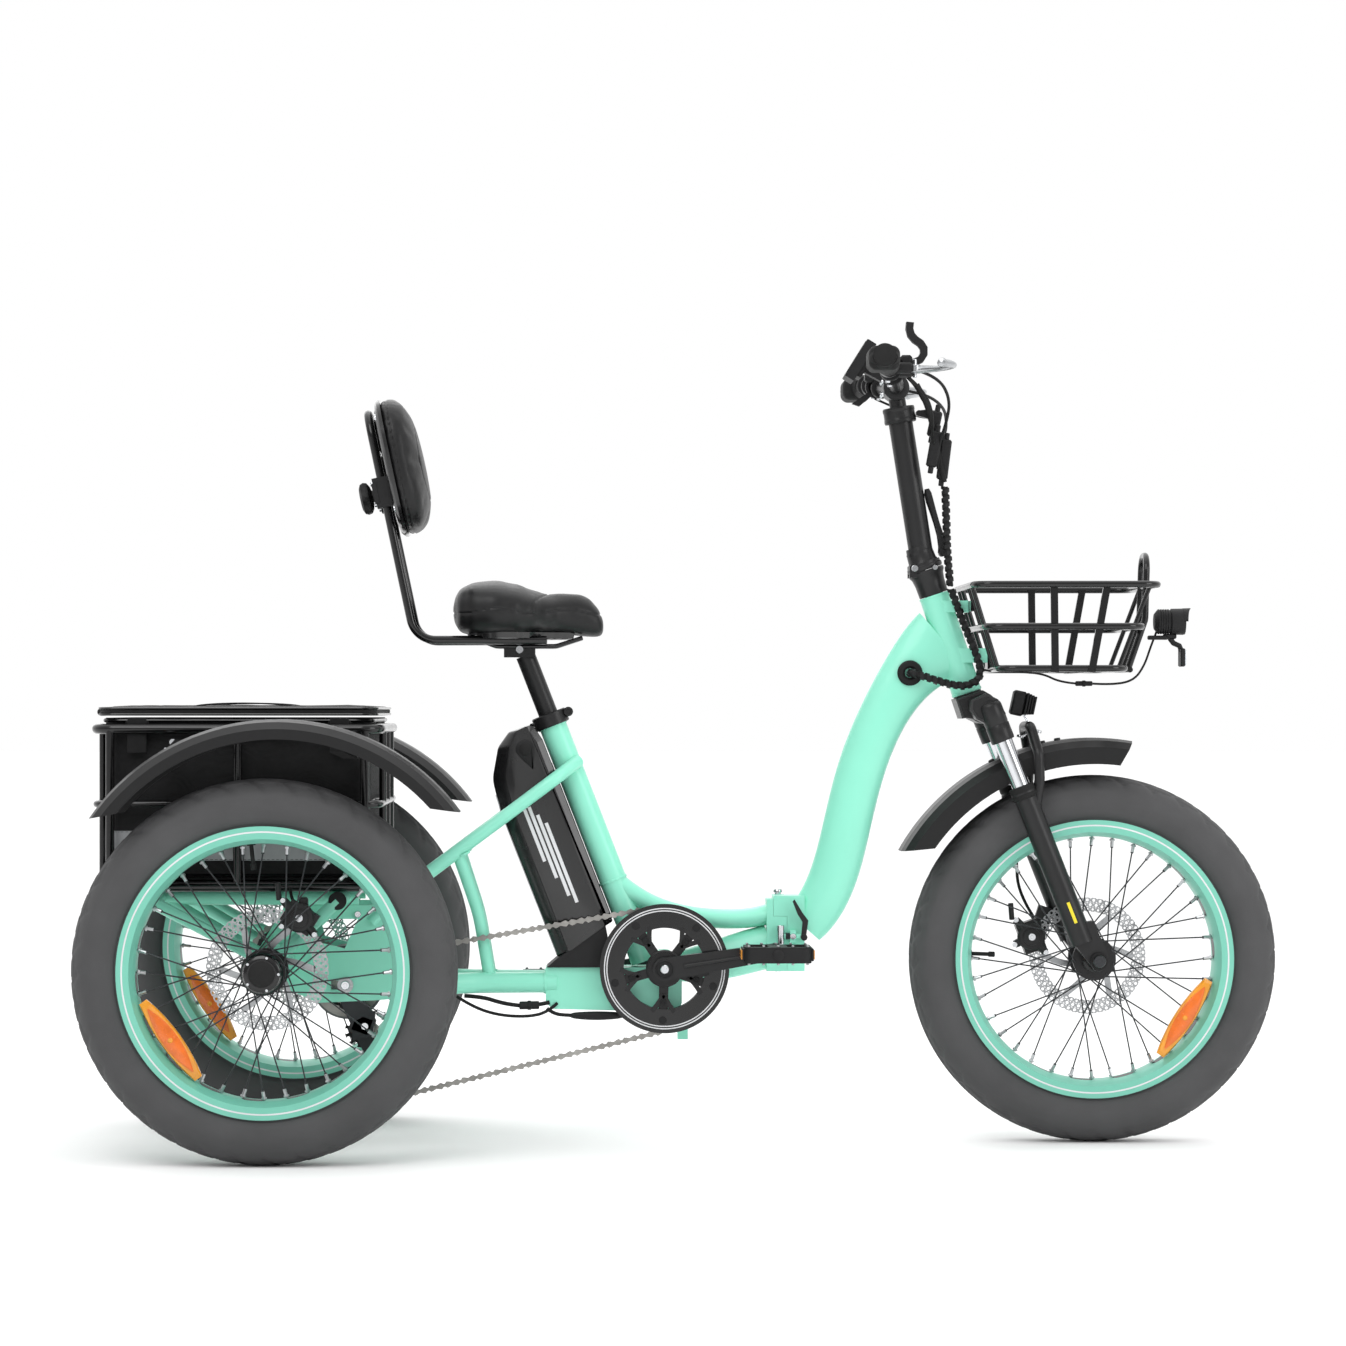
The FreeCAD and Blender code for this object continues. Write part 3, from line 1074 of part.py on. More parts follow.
os.makedirs("parts", exist_ok=True)
for wheel_side in (1, -1):
    make_rear_wheel(wheel_side)
    make_pedal(wheel_side)
make_front_wheel()
make_rear_frame()
make_axle_carrier()
make_battery()
make_seat_clamp()
make_seat_post()
make_saddle_frame()
make_saddle()
make_backrest()
make_rear_fenders()
make_rear_basket()
make_cargo_bag()
make_chains()
make_derailleur()
make_hub_motor()
make_differential()
make_crankset()
frame_grommet = make_front_frame()
make_frame_latch()
make_front_basket()
make_headlight()
make_fork()
make_fork_lowers()
make_front_fender()
make_calipers()
make_stem()
make_levers(make_handlebar())
make_cables(frame_grommet)
print(len(os.listdir("parts")), "parts")
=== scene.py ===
import bmesh
import bpy
import math
from mathutils import Matrix, Vector, noise


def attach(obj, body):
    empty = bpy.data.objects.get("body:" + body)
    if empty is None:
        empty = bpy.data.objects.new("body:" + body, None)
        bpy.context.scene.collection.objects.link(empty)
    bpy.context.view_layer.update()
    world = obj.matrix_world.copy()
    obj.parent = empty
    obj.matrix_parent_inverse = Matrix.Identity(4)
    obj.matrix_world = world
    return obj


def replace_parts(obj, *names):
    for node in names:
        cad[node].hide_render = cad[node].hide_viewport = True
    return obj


# Looks of an adult electric tricycle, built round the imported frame. Metres throughout.
# X points forward, Y to the rider's left, Z up; the origin is on the ground in the middle.

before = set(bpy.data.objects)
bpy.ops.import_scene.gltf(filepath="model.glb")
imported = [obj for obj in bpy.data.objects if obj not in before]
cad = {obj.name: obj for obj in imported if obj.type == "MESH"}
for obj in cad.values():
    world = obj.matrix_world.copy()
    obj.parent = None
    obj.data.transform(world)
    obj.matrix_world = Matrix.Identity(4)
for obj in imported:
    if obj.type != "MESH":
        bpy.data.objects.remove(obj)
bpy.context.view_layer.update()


def at(x, y, z):
    """A place or a direction in metres."""
    return Vector((x, y, z))


TYRE_RADIUS, TYRE_HALF = 0.281, 0.050
RIM_BED = 0.187
AXLE_X, TRACK_HALF = 0.6223, 0.350
HUBS = {"right": at(-AXLE_X, -TRACK_HALF, TYRE_RADIUS), "left": at(-AXLE_X, TRACK_HALF, TYRE_RADIUS),
        "front": at(AXLE_X, 0, TYRE_RADIUS)}
CRANK = at(-0.035, 0, 0.268)
CRANK_DEGREES = 9
CRANK_LENGTH = 0.170
CRANK_FACE, PEDAL_MIDDLE = 0.0800, 0.134
JACK = at(-0.5187, 0, 0.245)
MOTOR_TEETH, RING_TEETH, JOCKEY_TEETH, AXLE_TEETH, CARRIER_TEETH = 16, 46, 11, 24, 14
DRIVE_PLANE, AXLE_PLANE = -0.048, 0.052
FORK_HALF = 0.078
PITCH, CHAIN_STEP = 0.0127, 0.002
X_AXIS, Y_AXIS, Z_AXIS = at(1, 0, 0), at(0, 1, 0), at(0, 0, 1)


# ---------------------------------------------------------------- materials
def linear(red, green, blue):
    """Linear colour of a display colour given as 0 to 255."""
    parts = [value / 255 for value in (red, green, blue)]
    return [((p + 0.055) / 1.055) ** 2.4 if p > 0.04 else p / 12.92 for p in parts] + [1.0]


def feed(node, inputs):
    """Give a node's inputs plain values or other nodes' outputs."""
    for name, value in inputs.items():
        if isinstance(value, bpy.types.NodeSocket):
            node.id_data.links.new(value, node.inputs[name])
        else:
            node.inputs[name].default_value = value


def add_node(tree, kind, inputs=None, **settings):
    """A new shader node with its inputs fed and its own settings made."""
    node = tree.nodes.new("ShaderNode" + kind)
    for name, value in settings.items():
        setattr(node, name, value)
    feed(node, inputs or {})
    return node


def shaded(tree, factor, rgb, low, high, spots):
    """A colour that wanders between a darker and a lighter shade of itself."""
    ramp = add_node(tree, "ValToRGB", {"Fac": factor})
    for element, spot, share in zip(ramp.color_ramp.elements, spots, (low, high)):
        element.position = spot
        element.color = [min(1, c * share) for c in linear(*rgb)[:3]] + [1]
    return ramp.outputs["Color"]


def material(name, rgb, rough, metal=0.0, coat=0.0, vary=0.08, grain=60.0, bump=0.2, depth=0.0003,
             rough_vary=0.08, stretch=(1, 1, 1), kind="noise", sheen=0.0, spec=0.5):
    """A procedural material: uneven colour, uneven gloss and a fine relief."""
    mat = bpy.data.materials.new(name)
    mat.use_nodes = True
    tree = mat.node_tree
    coords = add_node(tree, "TexCoord")
    mapping = add_node(tree, "Mapping", {"Scale": stretch, "Vector": coords.outputs["Object"]})
    vector = mapping.outputs["Vector"]
    cloud = add_node(tree, "TexNoise", {"Scale": grain * 0.12, "Detail": 5, "Vector": vector})
    smudge = add_node(tree, "TexNoise", {"Scale": grain * 0.35, "Detail": 4, "Vector": vector})
    span = add_node(tree, "MapRange", {"To Min": max(rough - rough_vary, 0.03),
                                       "To Max": min(rough + rough_vary, 1),
                                       "Value": smudge.outputs["Fac"]})
    if kind == "leather":
        cells = add_node(tree, "TexVoronoi", {"Scale": grain, "Vector": vector}, feature="DISTANCE_TO_EDGE")
        height = cells.outputs["Distance"]
    elif kind == "weave":
        height = weave_height(tree, vector, grain)
    else:
        fine = add_node(tree, "TexNoise", {"Scale": grain * 4, "Detail": 3, "Vector": vector})
        height = fine.outputs["Fac"]
    relief = add_node(tree, "Bump", {"Strength": bump, "Distance": depth, "Height": height})
    feed(tree.nodes["Principled BSDF"], {
        "Metallic": metal, "Coat Weight": coat, "Coat Roughness": 0.12, "Sheen Weight": sheen,
        "Specular IOR Level": spec, "Roughness": span.outputs["Result"],
        "Base Color": shaded(tree, cloud.outputs["Fac"], rgb, 1 - vary, 1 + vary, (0.3, 0.7)),
        "Normal": relief.outputs["Normal"]})
    return mat


def weave_height(tree, vector, scale):
    """Height of a plain weave: threads in three directions, the higher one showing."""
    waves = [add_node(tree, "TexWave", {"Scale": scale, "Distortion": 0.4, "Vector": vector},
                      bands_direction=direction).outputs["Fac"] for direction in "XYZ"]
    first = add_node(tree, "Math", {0: waves[0], 1: waves[2]}, operation="MULTIPLY")
    second = add_node(tree, "Math", {0: first.outputs["Value"], 1: waves[1]}, operation="MAXIMUM")
    return second.outputs["Value"]


MINT = material("mint_paint", (142, 226, 200), 0.36, coat=0.25, vary=0.03, bump=0.06, spec=0.3)
MINT_RIM = material("mint_rim_paint", (118, 194, 173), 0.42, metal=0.15, vary=0.04, bump=0.08)
BLACK = material("satin_black_paint", (22, 22, 23), 0.42, coat=0.08, vary=0.15, bump=0.12, spec=0.35)
GLOSS = material("gloss_black_paint", (10, 10, 11), 0.22, coat=0.4, vary=0.12, bump=0.06, spec=0.3)
PLASTIC = material("moulded_black", (22, 22, 23), 0.55, vary=0.18, grain=220, bump=0.45, spec=0.3)
FENDER = material("fender_black", (15, 15, 16), 0.42, vary=0.12, grain=160, bump=0.25, spec=0.35)
RUBBER = material("tyre_rubber", (66, 66, 67), 0.74, vary=0.12, grain=90, bump=0.4, depth=0.0004)
SOFT_RUBBER = material("grip_rubber", (20, 20, 20), 0.7, vary=0.15, grain=200, bump=0.5, spec=0.3)
STEEL = material("bright_steel", (176, 178, 180), 0.3, metal=1, vary=0.08, grain=120, bump=0.12,
                 stretch=(1, 1, 6))
CHROME = material("chrome", (205, 207, 210), 0.12, metal=1, vary=0.04, bump=0.03, rough_vary=0.05)
DARK_STEEL = material("dark_steel", (64, 65, 67), 0.38, metal=0.9, vary=0.14, bump=0.15)
CHAIN = material("chain_steel", (158, 156, 152), 0.36, metal=0.9, vary=0.25, grain=260, bump=0.3)
ALLOY = material("cast_alloy", (120, 122, 124), 0.5, metal=0.85, vary=0.1, grain=200, bump=0.3)
LEATHER = material("black_leather", (15, 15, 16), 0.42, vary=0.14, grain=620, bump=0.5, depth=0.00025,
                   kind="leather", spec=0.35)
SHELL = material("shell_plastic", (17, 17, 18), 0.26, coat=0.3, vary=0.12, bump=0.1)
FABRIC = material("bag_fabric", (18, 18, 19), 0.8, vary=0.2, grain=420, bump=0.7, depth=0.0004, kind="weave",
                  sheen=0.08, spec=0.3)
REFLECT = material("reflective_tape", (150, 152, 154), 0.5, vary=0.08, grain=500, bump=0.5, kind="leather")
AMBER = material("amber_lens", (232, 150, 22), 0.2, coat=0.6, vary=0.12, grain=340, bump=0.8, depth=0.0006,
                 kind="leather")
AMBER_DEEP = material("amber_core", (222, 104, 6), 0.25, coat=0.5, vary=0.15, grain=420, bump=0.8,
                      depth=0.0006, kind="leather")
WHITE_LINE = material("white_line", (215, 216, 218), 0.45, vary=0.05, grain=200, bump=0.2)
LENS = material("lamp_lens", (214, 219, 224), 0.12, coat=0.7, vary=0.08, grain=380, bump=0.7, depth=0.0006,
                kind="leather")
SCREEN = material("display_glass", (12, 14, 17), 0.1, coat=0.8, vary=0.2, bump=0.03)
YELLOW = material("yellow_mark", (222, 205, 42), 0.5, vary=0.08, bump=0.2)


def leg_material():
    """Fork crown finish: black paint, and chrome on the stanchions below the crown."""
    mat = MINT.copy()
    mat.name = "crown_and_stanchions"
    tree = mat.node_tree
    tree.nodes.clear()
    coords = add_node(tree, "TexCoord").outputs["Object"]
    along = add_node(tree, "VectorMath", {0: coords, 1: LEG_DOWN}, operation="DOT_PRODUCT")
    below = add_node(tree, "Math", {0: along.outputs["Value"], 1: LEG_START.dot(LEG_DOWN) + CROWN_DEPTH},
                     operation="GREATER_THAN")
    mix = add_node(tree, "MixShader", {"Fac": below.outputs["Value"]})
    for slot, rough, metal, rgb in ((1, 0.42, 0.0, (30, 30, 31)), (2, 0.12, 1.0, (205, 207, 210))):
        cloud = add_node(tree, "TexNoise", {"Scale": 26, "Vector": coords}).outputs["Fac"]
        span = add_node(tree, "MapRange", {"To Min": rough - 0.05, "To Max": rough + 0.05, "Value": cloud})
        shader = add_node(tree, "BsdfPrincipled", {
            "Metallic": metal, "Base Color": shaded(tree, cloud, rgb, 0.85, 1.1, (0, 1)),
            "Roughness": span.outputs["Result"]})
        feed(mix, {slot: shader.outputs["BSDF"]})
    add_node(tree, "OutputMaterial", {"Surface": mix.outputs["Shader"]})
    return mat


LEG_START = at(0.463, 0, 0.654)
CROWN_DEPTH = 0.0425
HEAD_TOP, HEAD_LOW = at(0.380, 0, 0.838), at(0.4307, 0, 0.6875)
HEAD_DOWN = (HEAD_LOW - HEAD_TOP).normalized()
HEAD_FORWARD = at(-HEAD_DOWN.z, 0, HEAD_DOWN.x)
LEG_TILT = math.radians(21.5)
LEG_DOWN = at(math.sin(LEG_TILT), 0, -math.cos(LEG_TILT))


def paint(mat, *names):
    """Give carried-over CAD nodes a finish."""
    for name in names:
        cad[name].data.materials.clear()
        cad[name].data.materials.append(mat)


paint(MINT, "rear_frame", "front_frame", "axle_carrier")
paint(BLACK, "seat_post", "stem", "stem_base", "handlebar", "fork_lowers", "rear_calipers", "front_caliper",
      "crank_arms", "seat_clamp_lever", "stem_latch", "height_lever", "frame_latch")
paint(GLOSS, "rear_basket", "front_basket", "saddle_frame")
paint(PLASTIC, "controller", "battery_dock", "display", "shift_paddle", "throttle", "pedal_right",
      "pedal_left", "jockey_wheel_upper", "jockey_wheel_lower")
paint(FENDER, "front_fender", "rear_fenders")
paint(SHELL, "battery")
paint(CHROME, "fold_pins")
paint(STEEL, "axles_and_bearings", "head_bearings", "brake_lever_right", "brake_lever_left")
paint(DARK_STEEL, "derailleur", "differential")
paint(SOFT_RUBBER, "grips")
paint(leg_material(), "fork_crown")


# ---------------------------------------------------------------- mesh tools
CREASE_ANGLE = math.radians(38)


def skin(count, levels, caps=True, closed=False):
    """Quads between rings of count points; caps close the first and last ring."""
    faces = [list(range(count)), [levels * count - 1 - k for k in range(count)]] if caps else []
    for level in range(levels if closed else levels - 1):
        a, b = level * count, (level + 1) % levels * count
        faces += [[a + k, a + (k + 1) % count, b + (k + 1) % count, b + k] for k in range(count)]
    return faces


def place(name, verts, faces, mat, body):
    """A mesh piece in row coordinates that rides a body, in its finish."""
    mesh = bpy.data.meshes.new(name)
    mesh.from_pydata([tuple(v) for v in verts], [], faces)
    mesh.validate()
    mesh.materials.append(mat)
    obj = bpy.data.objects.new(name, mesh)
    bpy.context.scene.collection.objects.link(obj)
    tidy_normals(obj)
    finish_piece(obj, body)
    return obj


def tidy_normals(obj):
    """Turn every face outwards."""
    made = bmesh.new()
    made.from_mesh(obj.data)
    bmesh.ops.recalc_face_normals(made, faces=made.faces)
    made.to_mesh(obj.data)
    made.free()


def finish_piece(obj, body):
    """Smooth shading with crisp edges, then the piece's body."""
    for polygon in obj.data.polygons:
        polygon.use_smooth = True
    obj.data.set_sharp_from_angle(angle=CREASE_ANGLE)
    if body:
        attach(obj, body)


def turns(count):
    """Cosine and sine of evenly spread angles round a full turn."""
    angles = [2 * math.pi * k / count for k in range(count)]
    return [(math.cos(angle), math.sin(angle)) for angle in angles]


class Builder:
    """Collects simple shapes of one finish into one piece."""

    def __init__(self):
        self.verts = []
        self.faces = []

    def add(self, verts, faces):
        base = len(self.verts)
        self.verts += [Vector(v) for v in verts]
        self.faces += [[base + i for i in face] for face in faces]

    def lathe(self, centre, axis, outline, count=32, closed=False):
        """Turn (radius, along) points about an axis through the centre."""
        side = axis.orthogonal().normalized()
        other = axis.cross(side)
        verts = []
        for c, s in turns(count):
            radial = side * c + other * s
            verts += [centre + radial * r + axis * a for r, a in outline]
        n = len(outline)
        faces = []
        for k in range(count):
            here, there = k * n, (k + 1) % count * n
            for i in range(n if closed else n - 1):
                j = (i + 1) % n
                faces.append([here + i, here + j, there + j, there + i])
        if not closed:
            faces.append([k * n for k in range(count)])
            faces.append([k * n + n - 1 for k in reversed(range(count))])
        self.add(verts, faces)

    def rod(self, start, end, radius, count=12, edge=0.0):
        axis = end - start
        length = axis.length
        axis.normalize()
        edge = min(edge, radius * 0.6, length * 0.4)
        outline = [(radius, 0), (radius, length)]
        if edge:
            outline = [(radius - edge, 0), (radius, edge), (radius, length - edge), (radius - edge, length)]
        self.lathe(start, axis, outline, count)

    def hexagon(self, centre, axis, radius, height):
        """A screw head with a chamfered rim and a socket."""
        self.lathe(centre, axis, [(radius, 0), (radius, height * 0.7), (radius * 0.85, height),
                                  (radius * 0.5, height)], 18)
        self.lathe(centre + axis * height * 0.98, axis, [(radius * 0.5, 0), (radius * 0.46, height * 0.06)],
                   6)

    def box(self, centre, size, turn=None, edge=0.0015):
        """A block with chamfered edges, optionally turned by a matrix."""
        half = Vector(size) / 2
        edge = min(edge, min(half) * 0.45)
        verts = []
        for sx in (-1, 1):
            for sy in (-1, 1):
                for sz in (-1, 1):
                    for k in range(3):
                        inset = [0 if i == k else edge for i in range(3)]
                        spot = at(sx * (half.x - inset[0]), sy * (half.y - inset[1]),
                                  sz * (half.z - inset[2]))
                        verts.append(centre + (turn @ spot if turn else spot))
        made = bmesh.new()
        for v in verts:
            made.verts.new(v)
        bmesh.ops.convex_hull(made, input=made.verts)
        made.verts.index_update()
        self.add([v.co.copy() for v in made.verts], [[v.index for v in face.verts] for face in made.faces])
        made.free()

    def prism(self, outline, y0, y1, edge=0.0):
        """An outline in x and z between two heights across, with a chamfered rim."""
        count = len(outline)
        middle = Vector((sum(p[0] for p in outline), sum(p[1] for p in outline))) / count
        levels = [(y0, 0), (y1, 0)]
        if edge:
            lean = edge if y1 > y0 else -edge
            levels = [(y0, edge), (y0 + lean, 0), (y1 - lean, 0), (y1, edge)]
        verts = []
        for y, inset in levels:
            for x, z in outline:
                point = Vector((x, z))
                inward = middle - point
                point = point + inward.normalized() * min(inset, inward.length * 0.5)
                verts.append((point.x, y, point.y))
        self.add(verts, skin(count, len(levels)))

    def tube(self, points, radius, count=10):
        """A round tube through points that are already close together."""
        verts = []
        side = None
        for k, point in enumerate(points):
            ahead = points[min(k + 1, len(points) - 1)] - points[max(k - 1, 0)]
            ahead.normalize()
            if side is None:
                side = ahead.orthogonal().normalized()
            side = (side - ahead * side.dot(ahead)).normalized()
            other = ahead.cross(side)
            size = radius(k / (len(points) - 1)) if callable(radius) else radius
            verts += [point + side * size * c + other * size * s for c, s in turns(count)]
        self.add(verts, skin(count, len(points)))

    def piece(self, name, mat, body, slot=None):
        return place(name, self.verts, self.faces, mat, body)


def open_faces(made):
    """A lathe's quads without its end caps."""
    return [face for face in made.faces if len(face) == 4]


def loft(made, loops):
    """Skin between outlines with equal counts of points, closed at both ends."""
    made.add([point for loop in loops for point in loop], skin(len(loops[0]), len(loops)))


def islands(node):
    """Copies of the separate solids in a CAD node, the largest box first."""
    source = bmesh.new()
    source.from_mesh(cad[node].data)
    bmesh.ops.remove_doubles(source, verts=source.verts, dist=0.000002)
    source.verts.index_update()
    seen = set()
    groups = []
    for start in source.verts:
        if start.index in seen:
            continue
        seen.add(start.index)
        stack, group = [start], []
        while stack:
            vert = stack.pop()
            group.append(vert)
            for edge in vert.link_edges:
                other = edge.other_vert(vert)
                if other.index not in seen:
                    seen.add(other.index)
                    stack.append(other)
        groups.append(group)
    found = []
    for group in groups:
        number = {v.index: k for k, v in enumerate(group)}
        faces = {f for v in group for f in v.link_faces}
        faces = sorted(faces, key=lambda f: f.index)
        verts = [v.co.copy() for v in group]
        size = [max(v[k] for v in verts) - min(v[k] for v in verts) for k in range(3)]
        found.append((sum(size), verts, [[number[v.index] for v in f.verts] for f in faces]))
    source.free()
    return sorted(found, key=lambda item: -item[0])


def island_piece(name, chosen, mat, body):
    """One piece from chosen solids of islands()."""
    made = Builder()
    for _, verts, faces in chosen:
        made.add(verts, faces)
    return made.piece(name, mat, body)


def spline_curve(name, points, radius, body):
    """A rubber cable along one smooth line through a few control points."""
    data = bpy.data.curves.new(name, "CURVE")
    data.dimensions = "3D"
    data.bevel_depth = radius
    data.bevel_resolution = 3
    data.use_fill_caps = True
    data.resolution_u = 8
    line = data.splines.new("NURBS")
    line.points.add(len(points) - 1)
    for spot, point in zip(line.points, points):
        spot.co = (*point, 1)
    line.order_u = 3
    line.use_endpoint_u = True
    data.materials.append(SOFT_RUBBER)
    obj = bpy.data.objects.new(name, data)
    bpy.context.scene.collection.objects.link(obj)
    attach(obj, body)
    return obj


def curve_points(obj, spacing=0.002):
    """Evenly spaced points along a curve's smooth line."""
    plain = obj.data.copy()
    plain.bevel_depth = 0
    plain.resolution_u = 24
    ghost = bpy.data.objects.new("ghost", plain)
    mesh = bpy.data.meshes.new_from_object(ghost)
    raw = [v.co.copy() for v in mesh.vertices]
    bpy.data.objects.remove(ghost)
    points = [raw[0]]
    carried = 0.0
    for before, after in zip(raw, raw[1:]):
        run = (after - before).length
        while run and carried + run >= spacing:
            share = (spacing - carried) / run
            before = before.lerp(after, share)
            points.append(before.copy())
            run = (after - before).length
            carried = 0.0
        carried += run
    return points


def arc3(start, middle, end, count):
    """Points of the flat arc through three points."""
    ax, ay = start
    bx, by = middle
    cx, cy = end
    d = 2 * (ax * (by - cy) + bx * (cy - ay) + cx * (ay - by))
    aa, bb, cc = ax * ax + ay * ay, bx * bx + by * by, cx * cx + cy * cy
    ux = (aa * (by - cy) + bb * (cy - ay) + cc * (ay - by)) / d
    uy = (aa * (cx - bx) + bb * (ax - cx) + cc * (bx - ax)) / d
    radius = math.hypot(ax - ux, ay - uy)
    first = math.atan2(ay - uy, ax - ux)
    turn = (math.atan2(cy - uy, cx - ux) - first) % (2 * math.pi)
    half = (math.atan2(by - uy, bx - ux) - first) % (2 * math.pi)
    if half > turn:
        turn -= 2 * math.pi
    return [(ux + radius * math.cos(first + turn * k / count),
             uy + radius * math.sin(first + turn * k / count)) for k in range(count + 1)]


def around(hub, radius, across, degrees):
    """A place round a wheel's axle, from the forward direction upwards."""
    angle = math.radians(degrees)
    return hub + at(radius * math.cos(angle), across, radius * math.sin(angle))


# ---------------------------------------------------------------- wheels
TREAD_STEPS = 324
TREAD_EDGE = 0.0375


def tyre_profile():
    """Outside of the tyre from bead to bead, then back along the inside, as (radius, across)."""
    outer = [(0.2045, -0.036), (0.2135, -0.0362)]
    outer += arc3((0.2150, -0.0364), (0.243, -TYRE_HALF), (0.268, -0.038), 12)
    outer += arc3((0.268, -0.038), (TYRE_RADIUS, 0), (0.268, 0.038), 26)[1:]
    outer += arc3((0.268, 0.038), (0.243, TYRE_HALF), (0.2150, 0.0364), 12)[1:]
    outer += [(0.2135, 0.0362), (0.2045, 0.036)]
    inner = [(0.2045, 0.031), (0.2150, 0.031)]
    inner += arc3((0.2150, 0.031), (0.243, 0.0455), (0.265, 0.033), 5)[1:]
    inner += arc3((0.265, 0.033), (0.2745, 0), (0.265, -0.033), 6)[1:]
    inner += arc3((0.265, -0.033), (0.243, -0.0455), (0.2150, -0.031), 5)[1:]
    inner += [(0.2045, -0.031)]
    return outer, inner


def tread_cut(radius, across, step):
    """How far the tread is cut down at one place: grooves round it and angled slots."""
    off = abs(across)
    if radius < 0.262 or off > 0.0425:
        return 0.0
    lean = int(off / 0.0032)
    shift = 0 if across > 0 else 4
    if 0.0085 < off < 0.0125:
        return 0.0024
    if 0.0245 < off < 0.0275 and (step + shift) % 9 < 6:
        return 0.0022
    if off > 0.0125 and (step + lean // 2 + shift) % 9 < 1.5:
        return 0.0026 if off < TREAD_EDGE else 0.0014
    if off <= 0.0085 and (step + shift) % 6 < 1:
        return 0.0016
    return 0.0


def side_relief(radius):
    """Moulded rings low and high on the sidewall."""
    if 0.2195 < radius < 0.2235:
        return 0.0009
    if 0.2585 < radius < 0.2610:
        return 0.0007
    return 0.0


def make_tyre(name, hub):
    """A hollow fat tyre with its tread cut in and rings moulded on its walls."""
    outer, inner = tyre_profile()
    loop = outer + inner
    made = Builder()
    verts = []
    for step, (c, s) in enumerate(turns(TREAD_STEPS)):
        radial = at(c, 0, s)
        for k, (radius, across) in enumerate(loop):
            if k < len(outer):
                cut = tread_cut(radius, across, step)
                wide = across + math.copysign(side_relief(radius), across)
                verts.append(hub + radial * (radius - cut) + Y_AXIS * wide)
            else:
                verts.append(hub + radial * radius + Y_AXIS * across)
    made.add(verts, skin(len(loop), TREAD_STEPS, caps=False, closed=True))
    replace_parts(made.piece("tyre_with_tread_" + name, RUBBER, "wheel_" + name), "tyre_" + name)


def make_wheel(name):
    """Tyre, rim, spokes with nipples, rim windows, pinstripes and hub parts of one wheel."""
    hub = HUBS[name]
    body = "wheel_" + name
    make_tyre(name, hub)
    solids = islands("rim_" + name)
    ring = island_piece("rim_ring_" + name, solids[:1], MINT_RIM, body)
    island_piece("spokes_" + name, solids[1:], DARK_STEEL, body)
    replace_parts(ring, "rim_" + name)
    nipples, line, windows = Builder(), Builder(), Builder()
    for side, shift in ((1, 0), (-1, 10)):
        for lean in (1, -1):
            for index in range(9):
                at_hub = shift + (0 if lean > 0 else 20) + index * 40
                at_rim = at_hub + lean * 60
                inner = around(hub, 0.029, side * (0.030 + lean * 0.0035), -at_hub)
                outer = around(hub, RIM_BED - 0.0008, side * 0.006, -at_rim)
                along = (outer - inner).normalized()
                foot = outer - along * 0.0135
                nipples.rod(foot, outer, 0.0026, 8, 0.0006)
                nipples.lathe(outer - along * 0.004, along, [(0.0042, 0), (0.0042, 0.0025)], 8)
    nipples.piece("spoke_nipples_" + name, STEEL, body)
    for index in range(18):
        windows_patch(windows, hub, 5 + index * 20)
    windows.piece("rim_tape_windows_" + name, BLACK, body, "black_plastic")
    for side in (-1, 1):
        line.lathe(hub, Y_AXIS, [(0.2030, side * 0.0401), (0.2042, side * 0.0405), (0.2054, side * 0.0401)],
                   160)
    place("rim_pinstripe_" + name, line.verts, open_faces(line), WHITE_LINE, body)
    make_reflector(name, hub, body)
    make_valve(name, hub, body)
    make_hub_details(name, hub, body)


def windows_patch(made, hub, middle):
    """A dark rounded window in the rim bed, set just proud of it."""
    steps, wide, half_sweep = 10, 0.013, 5.2
    low, high = RIM_BED - 0.0003, RIM_BED + 0.0004
    verts = []
    for k in range(steps + 1):
        share = 2 * k / steps - 1
        half = wide * math.sqrt(max(1 - share ** 4, 0.02))
        for radius, across in ((low, -half), (low, half), (high, half), (high, -half)):
            verts.append(around(hub, radius, across, middle + share * half_sweep))
    made.add(verts, skin(4, steps + 1))


REFLECTOR_ANGLE = {"right": 216, "left": 214, "front": -33}


def make_reflector(name, hub, body):
    """Amber spoke reflector lying along the rim, with a darker core and its clips."""
    angle = REFLECTOR_ANGLE[name]
    centre = around(hub, 0.166, -0.022, angle)
    turn = Matrix.Rotation(-math.radians(angle + 90), 3, "Y")
    lens, core, clips = Builder(), Builder(), Builder()
    lens_outline(lens, centre, turn, 0.0685, 0.0150, 0.004, -0.0045, 0.42)
    lens_outline(core, centre, turn, 0.0560, 0.0118, -0.0040, -0.0066, 0.06)
    for shift in (-0.022, 0.022):
        spot = centre + turn @ at(shift, 0, 0)
        clips.rod(spot + Y_AXIS * 0.002, spot + Y_AXIS * 0.0075, 0.0040, 10, 0.0008)
    clips.rod(centre - Y_AXIS * 0.0075, centre + Y_AXIS * 0.0075, 0.0042, 14, 0.0012)
    lens.piece("wheel_reflector_" + name, AMBER, body)
    core.piece("reflector_core_" + name, AMBER_DEEP, body)
    clips.piece("reflector_clips_" + name, AMBER, body)


def lens_outline(made, centre, turn, half_long, half_wide, y0, y1, blunt):
    """A plate with bowed sides lying along the rim, its ends cut to a share of its width."""
    shares = [math.sin(math.pi / 2 * (k / 9 - 1)) for k in range(19)]
    half = [(half_long * t, half_wide * (blunt + (1 - blunt) * (1 - t * t))) for t in shares]
    outline = half + [(x, -z) for x, z in reversed(half)]
    verts = []
    for y, shrink in ((y0, 1.0), (y1 - (y1 - y0) * 0.3, 1.0), (y1, 0.9)):
        verts += [centre + turn @ at(x * shrink, 0, z * shrink) + Y_AXIS * y for x, z in outline]
    made.add(verts, skin(len(outline), 3))


